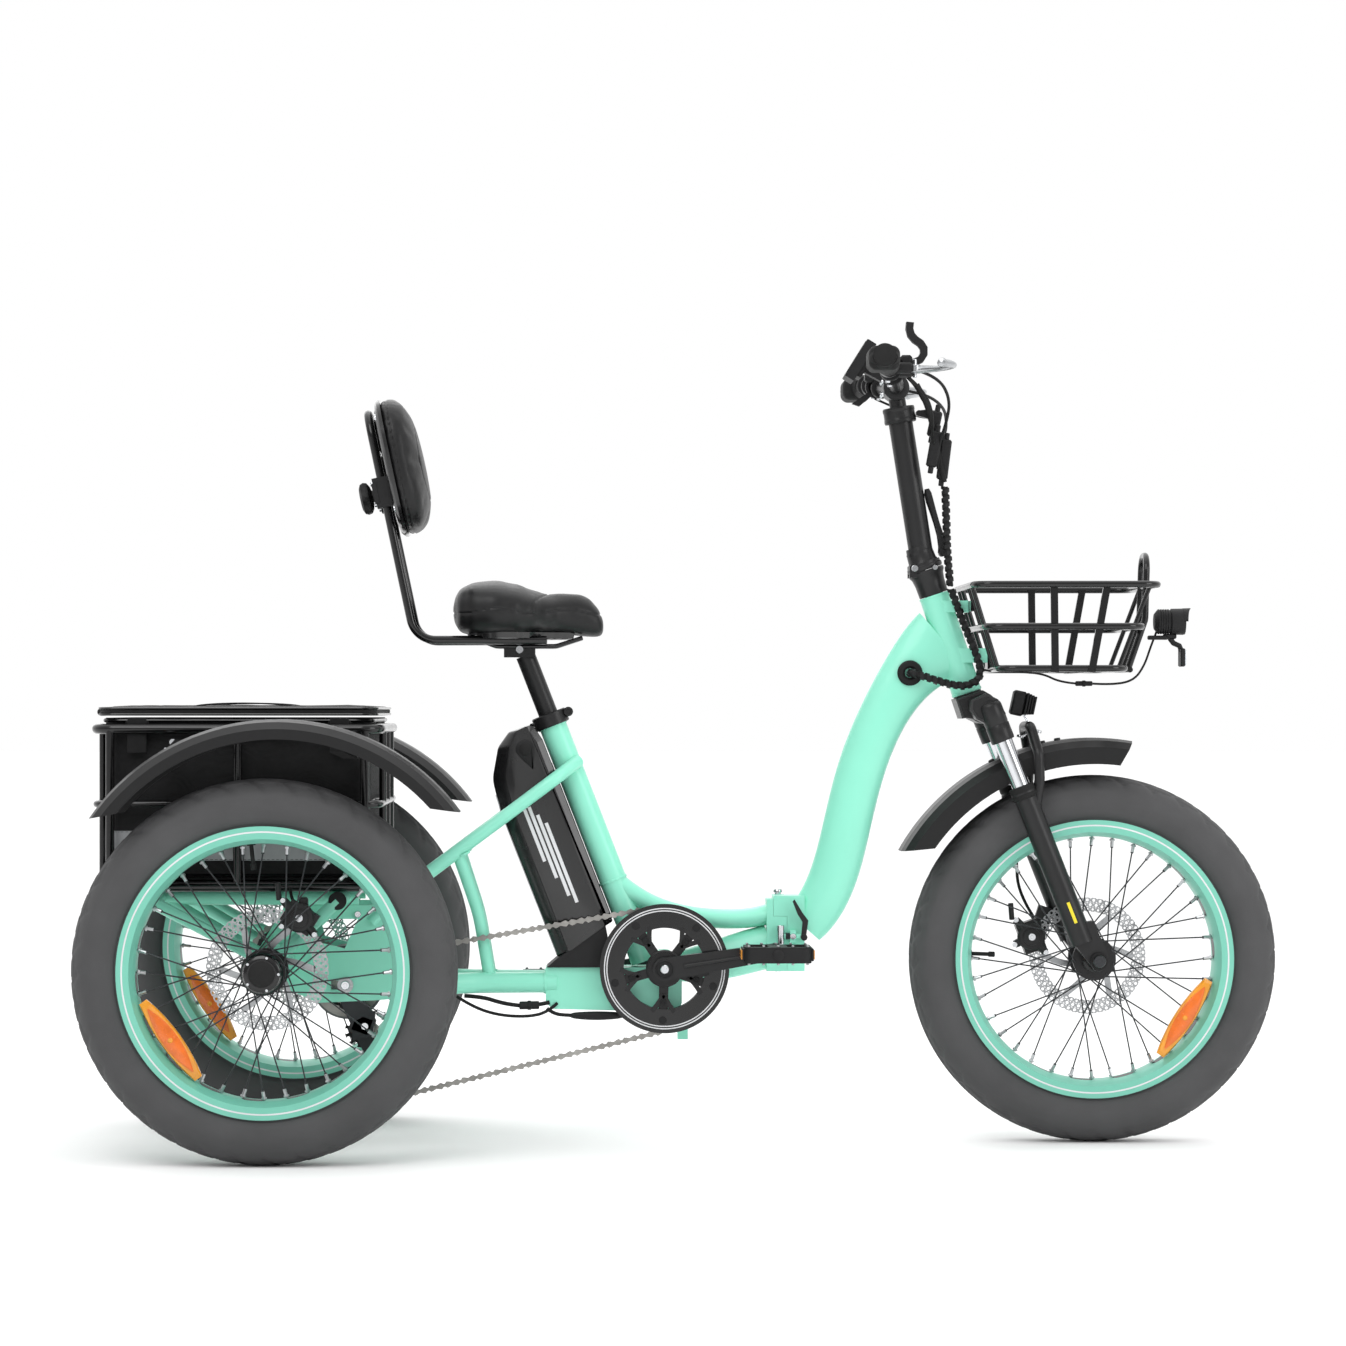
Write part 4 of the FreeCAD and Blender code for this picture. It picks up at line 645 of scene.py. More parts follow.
def make_valve(name, hub, body):
    """A tyre valve with its collar and cap."""
    angle = 178 if name == "front" else 96
    stem = around(hub, RIM_BED, 0, angle)
    inward = (hub - stem).normalized()
    made = Builder()
    made.rod(stem - inward * 0.002, stem + inward * 0.030, 0.0030, 10, 0.0006)
    made.rod(stem - inward * 0.001, stem + inward * 0.0025, 0.0065, 12, 0.0006)
    made.rod(stem + inward * 0.028, stem + inward * 0.038, 0.0042, 10, 0.001)
    made.piece("valve_" + name, SOFT_RUBBER, body)


def make_hub_details(name, hub, body):
    """The hub's shell, its rotor bolts and the caps on its outer end."""
    solids = islands("hub_" + name)
    rest = [s for s in solids if side_limits(s)[1] - side_limits(s)[0] >= 0.004]
    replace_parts(island_piece("hub_shell_" + name, rest, BLACK, body), "hub_" + name)
    rotor_side = {"right": 1, "left": -1, "front": 1}[name]
    bolts, trim = Builder(), Builder()
    for index in range(6):
        spot = around(hub, 0.0205, rotor_side * 0.0572, index * 60 + 12)
        bolts.hexagon(spot, Y_AXIS * rotor_side, 0.0038, 0.0028)
    if name == "front":
        for side in (-1, 1):
            trim.lathe(hub + Y_AXIS * side * 0.048, Y_AXIS * side,
                       [(0.019, 0), (0.0195, 0.004), (0.016, 0.007)], 28)
    else:
        out = -rotor_side
        face = hub + Y_AXIS * out * 0.048
        trim.lathe(face, Y_AXIS * out, [(0.030, -0.004), (0.0305, 0.002), (0.0275, 0.006), (0.0265, 0.012),
                                        (0.0225, 0.0145), (0.0205, 0.0145)], 40)
        cap = Builder()
        cap.lathe(hub + Y_AXIS * out * 0.0495, Y_AXIS * out,
                  [(0.0195, 0.006), (0.0195, 0.0128), (0.0175, 0.0145), (0.012, 0.0160),
                   (0.0002, 0.0165)], 32)
        cap.piece("axle_cap_" + name, SOFT_RUBBER, body)
        for index in range(5):
            spot = around(hub, 0.0245, out * 0.0622, index * 72)
            bolts.hexagon(spot, Y_AXIS * out, 0.0022, 0.0016)
    bolts.piece("hub_bolts_" + name, CHROME, body)
    trim.piece("hub_caps_" + name, GLOSS, body)


def side_limits(solid):
    """The least and greatest y of a solid that islands() gave."""
    across = [v.y for v in solid[1]]
    return min(across), max(across)


for wheel in HUBS:
    make_wheel(wheel)


# ---------------------------------------------------------------- drive
def pitch_radius(teeth):
    """Radius of a toothed wheel at its chain's pins."""
    return PITCH / (2 * math.sin(math.pi / teeth))


def tangent(first, second):
    """The straight run of chain between two wheels given as x, z and signed radius."""
    x0, z0, r0 = first
    x1, z1, r1 = second
    dx, dz = x1 - x0, z1 - z0
    length = math.hypot(dx, dz)
    sine = (r0 - r1) / length
    cosine = math.sqrt(1 - sine * sine)
    nx, nz = (dx * sine - dz * cosine) / length, (dz * sine + dx * cosine) / length
    return (x0 + nx * r0, z0 + nz * r0), (x1 + nx * r1, z1 + nz * r1)


def chain_path(circles):
    """Closely spaced points of a closed chain line round its wheels."""
    count = len(circles)
    runs = [tangent(circles[k], circles[(k + 1) % count]) for k in range(count)]
    points = []
    for k in range(count):
        start, end = runs[k]
        steps = max(2, int(math.dist(start, end) / CHAIN_STEP))
        points += [(start[0] + (end[0] - start[0]) * i / steps, start[1] + (end[1] - start[1]) * i / steps)
                   for i in range(steps)]
        x, z, radius = circles[(k + 1) % count]
        leave = runs[(k + 1) % count][0]
        here = math.atan2(end[1] - z, end[0] - x)
        there = math.atan2(leave[1] - z, leave[0] - x)
        turn = -((here - there) % (2 * math.pi)) if radius > 0 else (there - here) % (2 * math.pi)
        steps = max(2, int(abs(turn * radius) / CHAIN_STEP))
        points += [(x + abs(radius) * math.cos(here + turn * i / steps),
                    z + abs(radius) * math.sin(here + turn * i / steps)) for i in range(steps)]
    return points


def joints_along(points):
    """Pin places, one pitch apart, with the length shared out to a whole even number."""
    total = sum(math.dist(points[k], points[(k + 1) % len(points)]) for k in range(len(points)))
    number = 2 * round(total / PITCH / 2)
    spacing = total / number
    pins = []
    carried = 0.0
    for k in range(len(points)):
        a, b = points[k], points[(k + 1) % len(points)]
        run = math.dist(a, b)
        while carried <= run and run > 0:
            share = carried / run
            pins.append(at(a[0] + (b[0] - a[0]) * share, 0, a[1] + (b[1] - a[1]) * share))
            carried += spacing
        carried -= run
    return pins[:number]


def link_plate(made, start, end, y, thick, half):
    """A waisted side plate between two pins."""
    along = (end - start).normalized()
    across = at(-along.z, 0, along.x)
    outline = []
    for centre, sign in ((start, -1), (end, 1)):
        for k in range(5):
            angle = math.radians(-70 + 35 * k)
            outline.append(centre + along * sign * half * math.cos(angle) + across * sign * half
                           * math.sin(angle))
        outline.append((start + end) / 2 + across * sign * half * 0.42)
    verts = [p + Y_AXIS * (y - thick / 2) for p in outline]
    verts += [p + Y_AXIS * (y + thick / 2) for p in outline]
    made.add(verts, skin(len(outline), 2))


def make_chain(name, circles, y):
    pins = joints_along(chain_path(circles))
    plates, rollers = Builder(), Builder()
    for k, pin in enumerate(pins):
        after = pins[(k + 1) % len(pins)]
        inner = k % 2
        for side in (-1, 1):
            reach = 0.0019 if inner else 0.00285
            link_plate(plates, pin, after, y + side * reach, 0.0010, 0.0046 if inner else 0.0052)
        rollers.rod(pin + Y_AXIS * (y - 0.0036), pin + Y_AXIS * (y + 0.0036), 0.0018, 8)
        rollers.rod(pin + Y_AXIS * (y - 0.0014), pin + Y_AXIS * (y + 0.0014), 0.0037, 10)
    plates.piece(name + "_plates", CHAIN, "rear_frame")
    return rollers.piece(name + "_rollers", CHAIN, "rear_frame")


JOCKEYS = ((-0.497, 0.172), (-0.455, 0.0916))
drive_circles = [(JACK.x, JACK.z, pitch_radius(MOTOR_TEETH)), (CRANK.x, CRANK.z, pitch_radius(RING_TEETH)),
                 (*JOCKEYS[1], pitch_radius(JOCKEY_TEETH)), (*JOCKEYS[0], -pitch_radius(JOCKEY_TEETH))]
axle_circles = [(-AXLE_X, TYRE_RADIUS, pitch_radius(AXLE_TEETH)),
                (JACK.x, JACK.z, pitch_radius(CARRIER_TEETH))]
drive_rollers = make_chain("drive_chain", drive_circles, DRIVE_PLANE)
make_chain("axle_chain", axle_circles, AXLE_PLANE)
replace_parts(drive_rollers, "chains")


def recolour(node, choices, body, prefix):
    """Replace a node of several solids by copies, each in its own finish."""
    pieces = []
    for k, solid in enumerate(islands(node)):
        pieces.append(island_piece(f"{prefix}_{k}", [solid], choices(k, solid), body))
    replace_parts(pieces[0], node)


recolour("hub_motor", lambda k, solid: CHAIN if k else ALLOY, "hub_motor", "motor_part")
recolour("chainring", lambda k, solid: GLOSS if sum(side_limits(solid)) / 2 < -0.058 else DARK_STEEL,
         "crankset", "chainring_part")


def crank_spot(along, y):
    """A place along the cranks, measured from their axle."""
    return around(CRANK, along, y, CRANK_DEGREES)


SPIDER_ARMS = [-(72 * index + 20) for index in range(5)]
SPIDER_SPREAD = math.degrees(0.26)


def dress_crankset():
    """Rings on the chain guard, bolts, lobes and a ridge along each crank."""
    lines = Builder()
    for radius in (0.0915, 0.0878):
        outline = [(radius - 0.0009, 0), (radius, 0.00035), (radius + 0.0009, 0)]
        lines.lathe(at(CRANK.x, -0.06248, CRANK.z), -Y_AXIS, outline, 120)
    place("guard_rings", lines.verts, open_faces(lines), WHITE_LINE, "crankset")
    bolts, dark = Builder(), Builder()
    for arm in SPIDER_ARMS:
        dark.lathe(around(CRANK, 0.051, -0.0605, arm), -Y_AXIS,
                   [(0.0056, 0), (0.0056, 0.0030), (0.0048, 0.0038), (0.0030, 0.0038),
                    (0.0026, 0.0028)], 20)
        dark.lathe(around(CRANK, 0.0785, -0.0622, arm), -Y_AXIS,
                   [(0.0062, 0), (0.0058, 0.0011), (0.0030, 0.0013)], 18)
    for side in (-1, 1):
        face = at(CRANK.x, side * CRANK_FACE, CRANK.z)
        dark.lathe(face, Y_AXIS * side, [(0.0145, -0.001), (0.0145, 0.0012), (0.0125, 0.0020),
                                         (0.0118, 0.0008)], 32)
        bolts.hexagon(face + Y_AXIS * side * 0.0004, Y_AXIS * side, 0.0068, 0.0042)
        tip = crank_spot(-side * CRANK_LENGTH, side * CRANK_FACE)
        bolts.hexagon(tip + Y_AXIS * side * 0.0001, Y_AXIS * side, 0.0088, 0.0062)
    bolts.piece("crank_bolts", CHROME, "crankset")
    dark.piece("crank_trim", PLASTIC, "crankset")
    ridge = Builder()
    for side in (-1, 1):
        reach = -side * (CRANK_LENGTH - 0.030)
        a, b = crank_spot(-side * 0.030, side * 0.0803), crank_spot(reach, side * 0.0803)
        ridge.tube([a.lerp(b, k / 20) for k in range(21)], lambda s: 0.0035 - 0.0012 * s, 10)
    ridge.piece("crank_ridges", BLACK, "crankset")


def dress_pedal(name, side):
    """Grip pins, reflectors and end plates of one pedal."""
    tip = crank_spot(-side * CRANK_LENGTH, 0)
    body = "pedal_" + name
    pins, lens, base = Builder(), Builder(), Builder()
    middle = side * PEDAL_MIDDLE
    for x in (-0.044, -0.022, 0, 0.022, 0.044):
        for y in (-0.036, 0.036):
            for up in (-1, 1):
                spot = at(tip.x + x, middle + y, tip.z + up * 0.0118)
                pins.rod(spot, spot + Z_AXIS * up * 0.0030, 0.0022, 10, 0.0006)
    for end in (-1, 1):
        centre = at(tip.x + end * 0.0515, middle, tip.z)
        base.box(centre, (0.0040, 0.062, 0.0190), edge=0.0012)
        lens.box(centre + X_AXIS * end * 0.0022, (0.0030, 0.054, 0.0140), edge=0.0010)
    cap = at(tip.x, side * 0.176, tip.z)
    base.lathe(cap, Y_AXIS * side, [(0.0085, -0.002), (0.0085, 0.0012), (0.0060, 0.0026)], 20)
    for x in (-0.028, 0.028):
        base.box(at(tip.x + x, middle, tip.z), (0.0035, 0.060, 0.0150), edge=0.001)
    pins.piece("pedal_pins_" + name, STEEL, body)
    lens.piece("pedal_reflectors_" + name, AMBER, body)
    base.piece("pedal_trim_" + name, PLASTIC, body)


dress_crankset()
dress_pedal("right", -1)
dress_pedal("left", 1)


# ---------------------------------------------------------------- saddle and backrest
def swell(obj, voxel, pressure, limit, hold=None):
    """Puff a closed pad up like a stuffed cover, keeping every point within a limit."""
    bpy.context.view_layer.objects.active = obj
    remesh = obj.modifiers.new("remesh", "REMESH")
    remesh.mode = "VOXEL"
    remesh.voxel_size = voxel
    bpy.ops.object.modifier_apply(modifier=remesh.name)
    start = [v.co.copy() for v in obj.data.vertices]
    if hold:
        group = obj.vertex_groups.new(name="held")
        for vert in obj.data.vertices:
            weight = hold(vert.co)
            if weight > 0:
                group.add([vert.index], weight, "REPLACE")
    cloth = obj.modifiers.new("cloth", "CLOTH")
    cloth.settings.use_pressure = True
    cloth.settings.uniform_pressure_force = pressure
    cloth.settings.quality = 6
    cloth.settings.tension_stiffness = 25
    cloth.settings.compression_stiffness = 25
    cloth.settings.bending_stiffness = 1.5
    cloth.settings.effector_weights.gravity = 0
    cloth.collision_settings.use_collision = False
    cloth.point_cache.frame_start = 1
    cloth.point_cache.frame_end = 20
    if hold:
        cloth.settings.vertex_group_mass = "held"
    for number in range(1, 21):
        bpy.context.scene.frame_set(number)
    bpy.ops.object.modifier_apply(modifier=cloth.name)
    for vert, before in zip(obj.data.vertices, start):
        move = vert.co - before
        if move.length > limit:
            vert.co = before + move * (limit / move.length)
    bpy.context.scene.frame_set(1)
    obj.vertex_groups.clear()


def soften(obj, rounds):
    """Even out the remeshed surface, then subdivide once."""
    bpy.context.view_layer.objects.active = obj
    smooth = obj.modifiers.new("smooth", "SMOOTH")
    smooth.factor = 0.5
    smooth.iterations = rounds
    bpy.ops.object.modifier_apply(modifier=smooth.name)
    divide = obj.modifiers.new("divide", "SUBSURF")
    divide.levels = 1
    bpy.ops.object.modifier_apply(modifier=divide.name)
    for polygon in obj.data.polygons:
        polygon.use_smooth = True


# Stations along the saddle: x, half width, top, underside, how square the section is.
SADDLE_STATIONS = ((-0.3555, 0.056, 0.836, 0.794, 2.4), (-0.347, 0.088, 0.850, 0.780, 2.6),
                   (-0.324, 0.105, 0.8570, 0.7745, 2.8), (-0.294, 0.110, 0.8575, 0.7735, 2.8),
                   (-0.262, 0.103, 0.8520, 0.7740, 2.7), (-0.236, 0.086, 0.8430, 0.7765, 2.5),
                   (-0.214, 0.063, 0.8375, 0.7785, 2.4), (-0.192, 0.047, 0.8410, 0.7775, 2.3),
                   (-0.170, 0.040, 0.8415, 0.7755, 2.3), (-0.151, 0.034, 0.8340, 0.7735, 2.3),
                   (-0.137, 0.029, 0.8190, 0.7730, 2.3), (-0.1275, 0.021, 0.8000, 0.7760, 2.2))


def station_value(x, column):
    """A saddle measure at one place along, eased between its stations."""
    stations = SADDLE_STATIONS
    if x <= stations[0][0]:
        return stations[0][column]
    for before, after in zip(stations, stations[1:]):
        if x <= after[0]:
            share = (x - before[0]) / (after[0] - before[0])
            share = share * share * (3 - 2 * share)
            return before[column] + (after[column] - before[column]) * share
    return stations[-1][column]


def saddle_shell():
    """Closed saddle shape through its stations, with a channel along the back half."""
    count, steps = 48, 40
    x0, x1 = SADDLE_STATIONS[0][0], SADDLE_STATIONS[-1][0]
    verts = []
    for step in range(steps + 1):
        x = x0 + (x1 - x0) * (1 - math.cos(math.pi * step / steps)) / 2
        half, top, low, power = (station_value(x, k) for k in (1, 2, 3, 4))
        middle, tall = (top + low) / 2, (top - low) / 2
        for c, s in turns(count):
            y = half * math.copysign(abs(c) ** (2 / power), c)
            z = tall * math.copysign(abs(s) ** (2 / power), s)
            groove = 0.006 * math.exp(-(y / 0.010) ** 2) if s > 0 and x < -0.17 else 0
            verts.append((x, y, middle + z - groove))
    caps = [list(range(count)), [len(verts) - 1 - k for k in range(count)]]
    return verts, skin(count, steps + 1, caps=False) + caps


def groove_along(obj, test, depth):
    """Press a sewn channel into a finished pad, where test gives 0 to 1."""
    for vert in obj.data.vertices:
        amount = test(vert.co)
        if amount > 0:
            vert.co -= vert.normal * depth * amount


def make_saddle():
    """The padded saddle cover with its seams, its base, springs and clamp bolts."""
    verts, faces = saddle_shell()
    pad = place("saddle_cover", verts, faces, LEATHER, None)
    swell(pad, 0.005, 4.0, 0.016, lambda co: 1.0 if co.z < 0.790 else 0.0)
    soften(pad, 6)

    def side_seam(co):
        return math.exp(-((co.z - 0.8115 - 0.004 * math.sin(co.x * 60)) / 0.0013) ** 2)

    def cross_seam(co):
        line = -0.2125 - 0.35 * max(0.0, abs(co.y) - 0.02)
        return math.exp(-((co.x - line) / 0.0014) ** 2) * (1 if co.z > 0.8115 else 0)

    groove_along(pad, lambda co: max(side_seam(co), cross_seam(co)), 0.0014)
    tidy_normals(pad)
    finish_piece(pad, "seat_post")
    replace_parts(pad, "saddle")
    base = Builder()
    stations = [-0.352 + 0.220 * k / 32 for k in range(33)]
    outline = [(x, station_value(x, 1) * 0.97) for x in stations]
    loop = outline + [(x, -w) for x, w in reversed(outline)]
    middle = -0.262
    loft(base, [[at(middle + (x - middle) * share, y * share, z) for x, y in loop] for share,
                z in ((0.62, 0.7690), (0.68, 0.7712), (0.70, 0.7800))])
    base.piece("saddle_base", SHELL, "seat_post")
    springs = Builder()
    for side in (-1, 1):
        foot = at(-0.322, side * 0.046, 0.7640)
        helix = [foot + at(0.0115 * math.cos(a), 0.0115 * math.sin(a), 0.0145 * a / (6 * math.pi))
                 for a in [k * math.pi / 8 for k in range(49)]]
        springs.tube(helix, 0.0016, 8)
    springs.piece("saddle_springs", DARK_STEEL, "seat_post")
    bolts = Builder()
    for side in (-1, 1):
        bolts.hexagon(at(-0.256, side * 0.0212, 0.7540), Y_AXIS * side, 0.0065, 0.006)
    bolts.piece("saddle_clamp_bolts", CHROME, "seat_post")


BACK_FOOT = at(-0.414, 0, 0.768)
BACK_UP = (at(-0.487, 0, 1.113) - BACK_FOOT).normalized()
BACK_FORWARD = at(BACK_UP.z, 0, -BACK_UP.x)
BACK_MIDDLE = 0.2655


def back_spot(up, forward, y=0.0):
    """A place measured along the backrest's own directions."""
    return BACK_FOOT + BACK_UP * up + BACK_FORWARD * forward + Y_AXIS * y


def back_loops(count, half_wide, half_tall, levels):
    """Front views of the pad, a rounded oblong a little wider at the top, one for each level."""
    outline = []
    for c, s in turns(count):
        y = half_wide * math.copysign(abs(c) ** 0.55, c) * (1 + 0.04 * s)
        outline.append((y, half_tall * math.copysign(abs(s) ** 0.62, s)))
    return [[back_spot(BACK_MIDDLE + up * share, forward, y * share) for y, up in outline] for forward,
            share in levels]


def make_backrest():
    """The padded backrest with its seams, its shell, bracket, screws and height knob."""
    count = 64
    loops = back_loops(count, 0.118, 0.1035, ((0.0195, 0.90), (0.0215, 0.99), (0.030, 1.0), (0.044, 0.985),
                                              (0.0545, 0.90), (0.0595, 0.72), (0.0615, 0.40)))
    verts = [point for loop in loops for point in loop] + [back_spot(BACK_MIDDLE, 0.062)]
    faces = [list(range(count))] + skin(count, len(loops), caps=False)
    top = (len(loops) - 1) * count
    faces += [[top + k, top + (k + 1) % count, len(verts) - 1] for k in range(count)]
    pad = place("backrest_pad", verts, faces, LEATHER, None)
    held = back_spot(0.0, 0.024)

    def behind(co):
        return 1.0 if (co - held).dot(BACK_FORWARD) < 0 else 0.0

    swell(pad, 0.005, 4.0, 0.012, behind)
    soften(pad, 6)

    def channel(co):
        offset = co - BACK_FOOT
        up, forward = offset.dot(BACK_UP) - BACK_MIDDLE, offset.dot(BACK_FORWARD)
        if forward < 0.036:
            return math.exp(-((forward - 0.0300) / 0.0012) ** 2)
        oval = math.sqrt((co.y / 0.075) ** 2 + (up / 0.060) ** 2)
        return math.exp(-((oval - 1) / 0.022) ** 2)

    groove_along(pad, channel, 0.0016)
    tidy_normals(pad)
    finish_piece(pad, "backrest")
    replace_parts(pad, "backrest_cushion")
    shell = Builder()
    loft(shell, back_loops(72, 0.120, 0.1055, ((0.0092, 0.60), (0.0100, 0.85), (0.0125, 0.955),
                                               (0.0165, 0.995), (0.0215, 1.004))))
    shell.piece("backrest_shell", SHELL, "backrest")
    solids = islands("backrest_cushion")
    bracket = [s for s in solids if max((v - BACK_FOOT).dot(BACK_FORWARD) for v in s[1]) < 0.012]
    island_piece("backrest_bracket", bracket, PLASTIC, "backrest")
    screws = Builder()
    for y in (-0.095, 0.095):
        for up in (0.200, 0.340):
            screws.lathe(back_spot(up, 0.0118, y), -BACK_FORWARD,
                         [(0.0065, -0.003), (0.0062, 0.0012), (0.0030, 0.0022), (0.0028, 0.0012)], 20)
    for y in (-0.075, 0.075):
        for up in (0.213, 0.245):
            screws.hexagon(back_spot(up, -0.0140, y), -BACK_FORWARD, 0.0042, 0.0036)
    screws.piece("backrest_screws", CHROME, "backrest")
    knob = Builder()
    axis = -BACK_FORWARD
    centre = back_spot(0.229, -0.0164)
    side, other = Y_AXIS, axis.cross(Y_AXIS)
    rings = ((0.0, 0.0105), (0.004, 0.0108), (0.0058, 0.0175), (0.0095, 0.0235), (0.0150, 0.0250),
             (0.0200, 0.0228), (0.0228, 0.0165), (0.0236, 0.0090))
    verts, count = [], 48
    for along, radius in rings:
        for k in range(count):
            angle = 2 * math.pi * k / count
            reach = radius * (1 + (0.09 * math.cos(6 * angle) if radius > 0.012 else 0))
            verts.append(centre + axis * along + side * reach * math.cos(angle)
                         + other * reach * math.sin(angle))
    knob.add(verts, skin(count, len(rings)))
    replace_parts(knob.piece("height_knob", PLASTIC, "backrest_knob"), "backrest_knob")


make_saddle()
make_backrest()


# ---------------------------------------------------------------- bag in the rear basket
BAG_REAR, BAG_FRONT, BAG_HALF = -0.871, -0.471, 0.224
BAG_LOW, BAG_SEAM, BAG_HIGH = 0.4095, 0.524, 0.652


def rounded_loop(x0, x1, half, radius, spacing=0.007):
    """Plan of the bag as closely spaced points, each with its outward direction."""
    corners = ((x1 - radius, half - radius, 0), (x0 + radius, half - radius, 90),
               (x0 + radius, radius - half, 180), (x1 - radius, radius - half, 270))
    dense = []
    for cx, cy, first in corners:
        for k in range(9):
            angle = math.radians(first + 90 * k / 8)
            out = at(math.cos(angle), math.sin(angle), 0)
            dense.append((at(cx, cy, 0) + out * radius, out))
    loop = []
    for k, (point, out) in enumerate(dense):
        after, out_after = dense[(k + 1) % len(dense)]
        steps = max(1, round((after - point).length / spacing))
        for i in range(steps):
            share = i / steps
            loop.append((point.lerp(after, share), out.lerp(out_after, share).normalized()))
    return loop


def wall_bulge(point, z):
    """How far the cloth wall stands in or out: slack between the basket's bars, with folds."""
    share = (z - BAG_LOW) / (BAG_HIGH - BAG_LOW)
    slack = -0.0050 * math.sin(math.pi * min(max(share, 0), 1))
    folds = noise.noise(at(point.x * 9, point.y * 9, z * 14)) * 0.0045
    fine = noise.noise(at(point.x * 30, point.y * 30, z * 42)) * 0.0012
    crease = -0.0025 * math.exp(-((z - BAG_SEAM) / 0.006) ** 2)
    return slack + folds * math.sin(math.pi * share) + fine + crease


def make_bag():
    """The cargo bag's walls with piping, a reflective band, stitches and tabs."""
    loop = rounded_loop(BAG_REAR + 0.001, BAG_FRONT - 0.001, BAG_HALF - 0.001, 0.024)
    levels = [BAG_LOW + (BAG_HIGH - 0.002 - BAG_LOW) * k / 34 for k in range(35)]
    made = Builder()
    verts = []
    for z in levels:
        verts += [wall_spot(point, out, z, 0) for point, out in loop]
    for z in reversed(levels):
        floor = max(z, BAG_LOW + 0.003)
        for point, out in loop:
            verts.append(at(point.x, point.y, floor) + out * (wall_bulge(point, z) - 0.0028))
    made.add(verts, skin(len(loop), 2 * len(levels)))
    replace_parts(made.piece("bag_walls", FABRIC, "rear_frame"), "cargo_bag")
    hem = Builder()
    for z, size in ((BAG_HIGH - 0.006, 0.0030), (BAG_SEAM, 0.0016), (BAG_LOW + 0.006, 0.0028)):
        hem_ring(hem, [wall_spot(p, out, z, size * 0.35) for p, out in loop], size)
    hem.piece("bag_piping", GLOSS, "rear_frame", "black_plastic")
    bands = Builder()
    strip_round(bands, loop, 0.438, 0.482, 0.0009)
    bands.piece("bag_reflective_band", REFLECT, "rear_frame")
    thread = Builder()
    for z in (0.4395, 0.4805, BAG_HIGH - 0.014, 0.530, 0.518):
        stitch_round(thread, loop, z)
    thread.piece("bag_stitches", PLASTIC, "rear_frame", "bag_fabric")
    tabs = Builder()
    for side in (-1, 1):
        for x in (-0.820, -0.520):
            tabs.box(at(x, side * 0.2315, 0.624), (0.028, 0.0030, 0.052))
            tabs.box(at(x, side * 0.2275, 0.640), (0.034, 0.0040, 0.010))
    tabs.piece("bag_tabs", FABRIC, "rear_frame")


def hem_ring(made, points, size):
    """Closed piping round the bag."""
    count = 8
    verts = []
    for k, point in enumerate(points):
        along = (points[(k + 1) % len(points)] - points[k - 1]).normalized()
        out = along.cross(Z_AXIS).normalized()
        verts += [point + out * size * c + Z_AXIS * size * s for c, s in turns(count)]
    made.add(verts, skin(count, len(points), caps=False, closed=True))


def wall_spot(point, out, z, lift):
    """A place on the bag's wall at one height, lifted off the cloth."""
    return at(point.x, point.y, z) + out * (wall_bulge(point, z) + lift)


def strip_round(made, loop, z0, z1, proud):
    """A tape sewn flat round the walls."""
    rows = 4
    levels = [(z0 + (z1 - z0) * r / rows, proud) for r in range(rows + 1)]
    levels += [(z1 - (z1 - z0) * r / rows, -0.0006) for r in range(rows + 1)]
    verts = [wall_spot(point, out, z, lift) for z, lift in levels for point, out in loop]
    made.add(verts, skin(len(loop), len(levels), caps=False, closed=True))


def stitch_round(made, loop, z):
    """Short thread stitches round the walls at one height."""
    for k, spot in enumerate(loop):
        a, b = wall_spot(*spot, z, 0.0011), wall_spot(*loop[(k + 1) % len(loop)], z, 0.0011)
        middle = a.lerp(b, 0.55)
        made.rod(a.lerp(b, 0.1), middle.lerp(b, 0.35), 0.00035, 5)


def make_lid():
    """The lid: a padded cloth panel with piping, handles and a rolled rear edge."""
    x0, x1, half = BAG_REAR - 0.006, BAG_FRONT + 0.006, BAG_HALF + 0.006
    loop = rounded_loop(x0, x1, half, 0.022)
    centre = at((x0 + x1) / 2, 0, 0)
    rings = ((1.0, 0.0), (1.004, 0.006), (1.0, 0.0105), (0.985, 0.0125), (0.95, 0.0130), (0.85, 0.0142),
             (0.70, 0.0150), (0.5, 0.0154), (0.3, 0.0155), (0.1, 0.0155))
    verts = []
    for share, up in rings:
        for point, _ in loop:
            spot = centre + (point - centre) * share
            ripple = noise.noise(at(spot.x * 11, spot.y * 11, 3.0)) * 0.0022
            ripple += noise.noise(at(spot.x * 33, spot.y * 33, 5.0)) * 0.0007
            lift = 0 if up < 0.011 else ripple
            verts.append(at(spot.x, spot.y, BAG_HIGH + 0.001 + up + lift))
    made = Builder()
    made.add(verts, skin(len(loop), len(rings)))
    lid = made.piece("lid_panel", FABRIC, "bag_lid")
    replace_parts(lid, "bag_lid")
    piping = Builder()
    for z in (0.0020, 0.0110):
        hem_ring(piping, [at(p.x, p.y, BAG_HIGH + 0.001 + z) + out * 0.0006 for p, out in loop], 0.0020)
    piping.piece("lid_piping", GLOSS, "bag_lid", "black_plastic")
    straps = Builder()
    for y in (-0.120, 0.120):
        arch = [at(-0.671 + 0.075 * math.cos(a), y, BAG_HIGH + 0.0135 + 0.0062 * math.sin(a))
                for a in [math.pi * k / 16 for k in range(17)]]
        ribbon(straps, arch, Y_AXIS, 0.026, 0.0022)
    straps.piece("lid_handles", FABRIC, "bag_lid")
    roll = Builder()
    roll.rod(at(-0.8765, -0.203, 0.6585), at(-0.8765, 0.203, 0.6585), 0.0058, 20, 0.002)
    roll.piece("lid_rear_roll", FABRIC, "bag_lid")


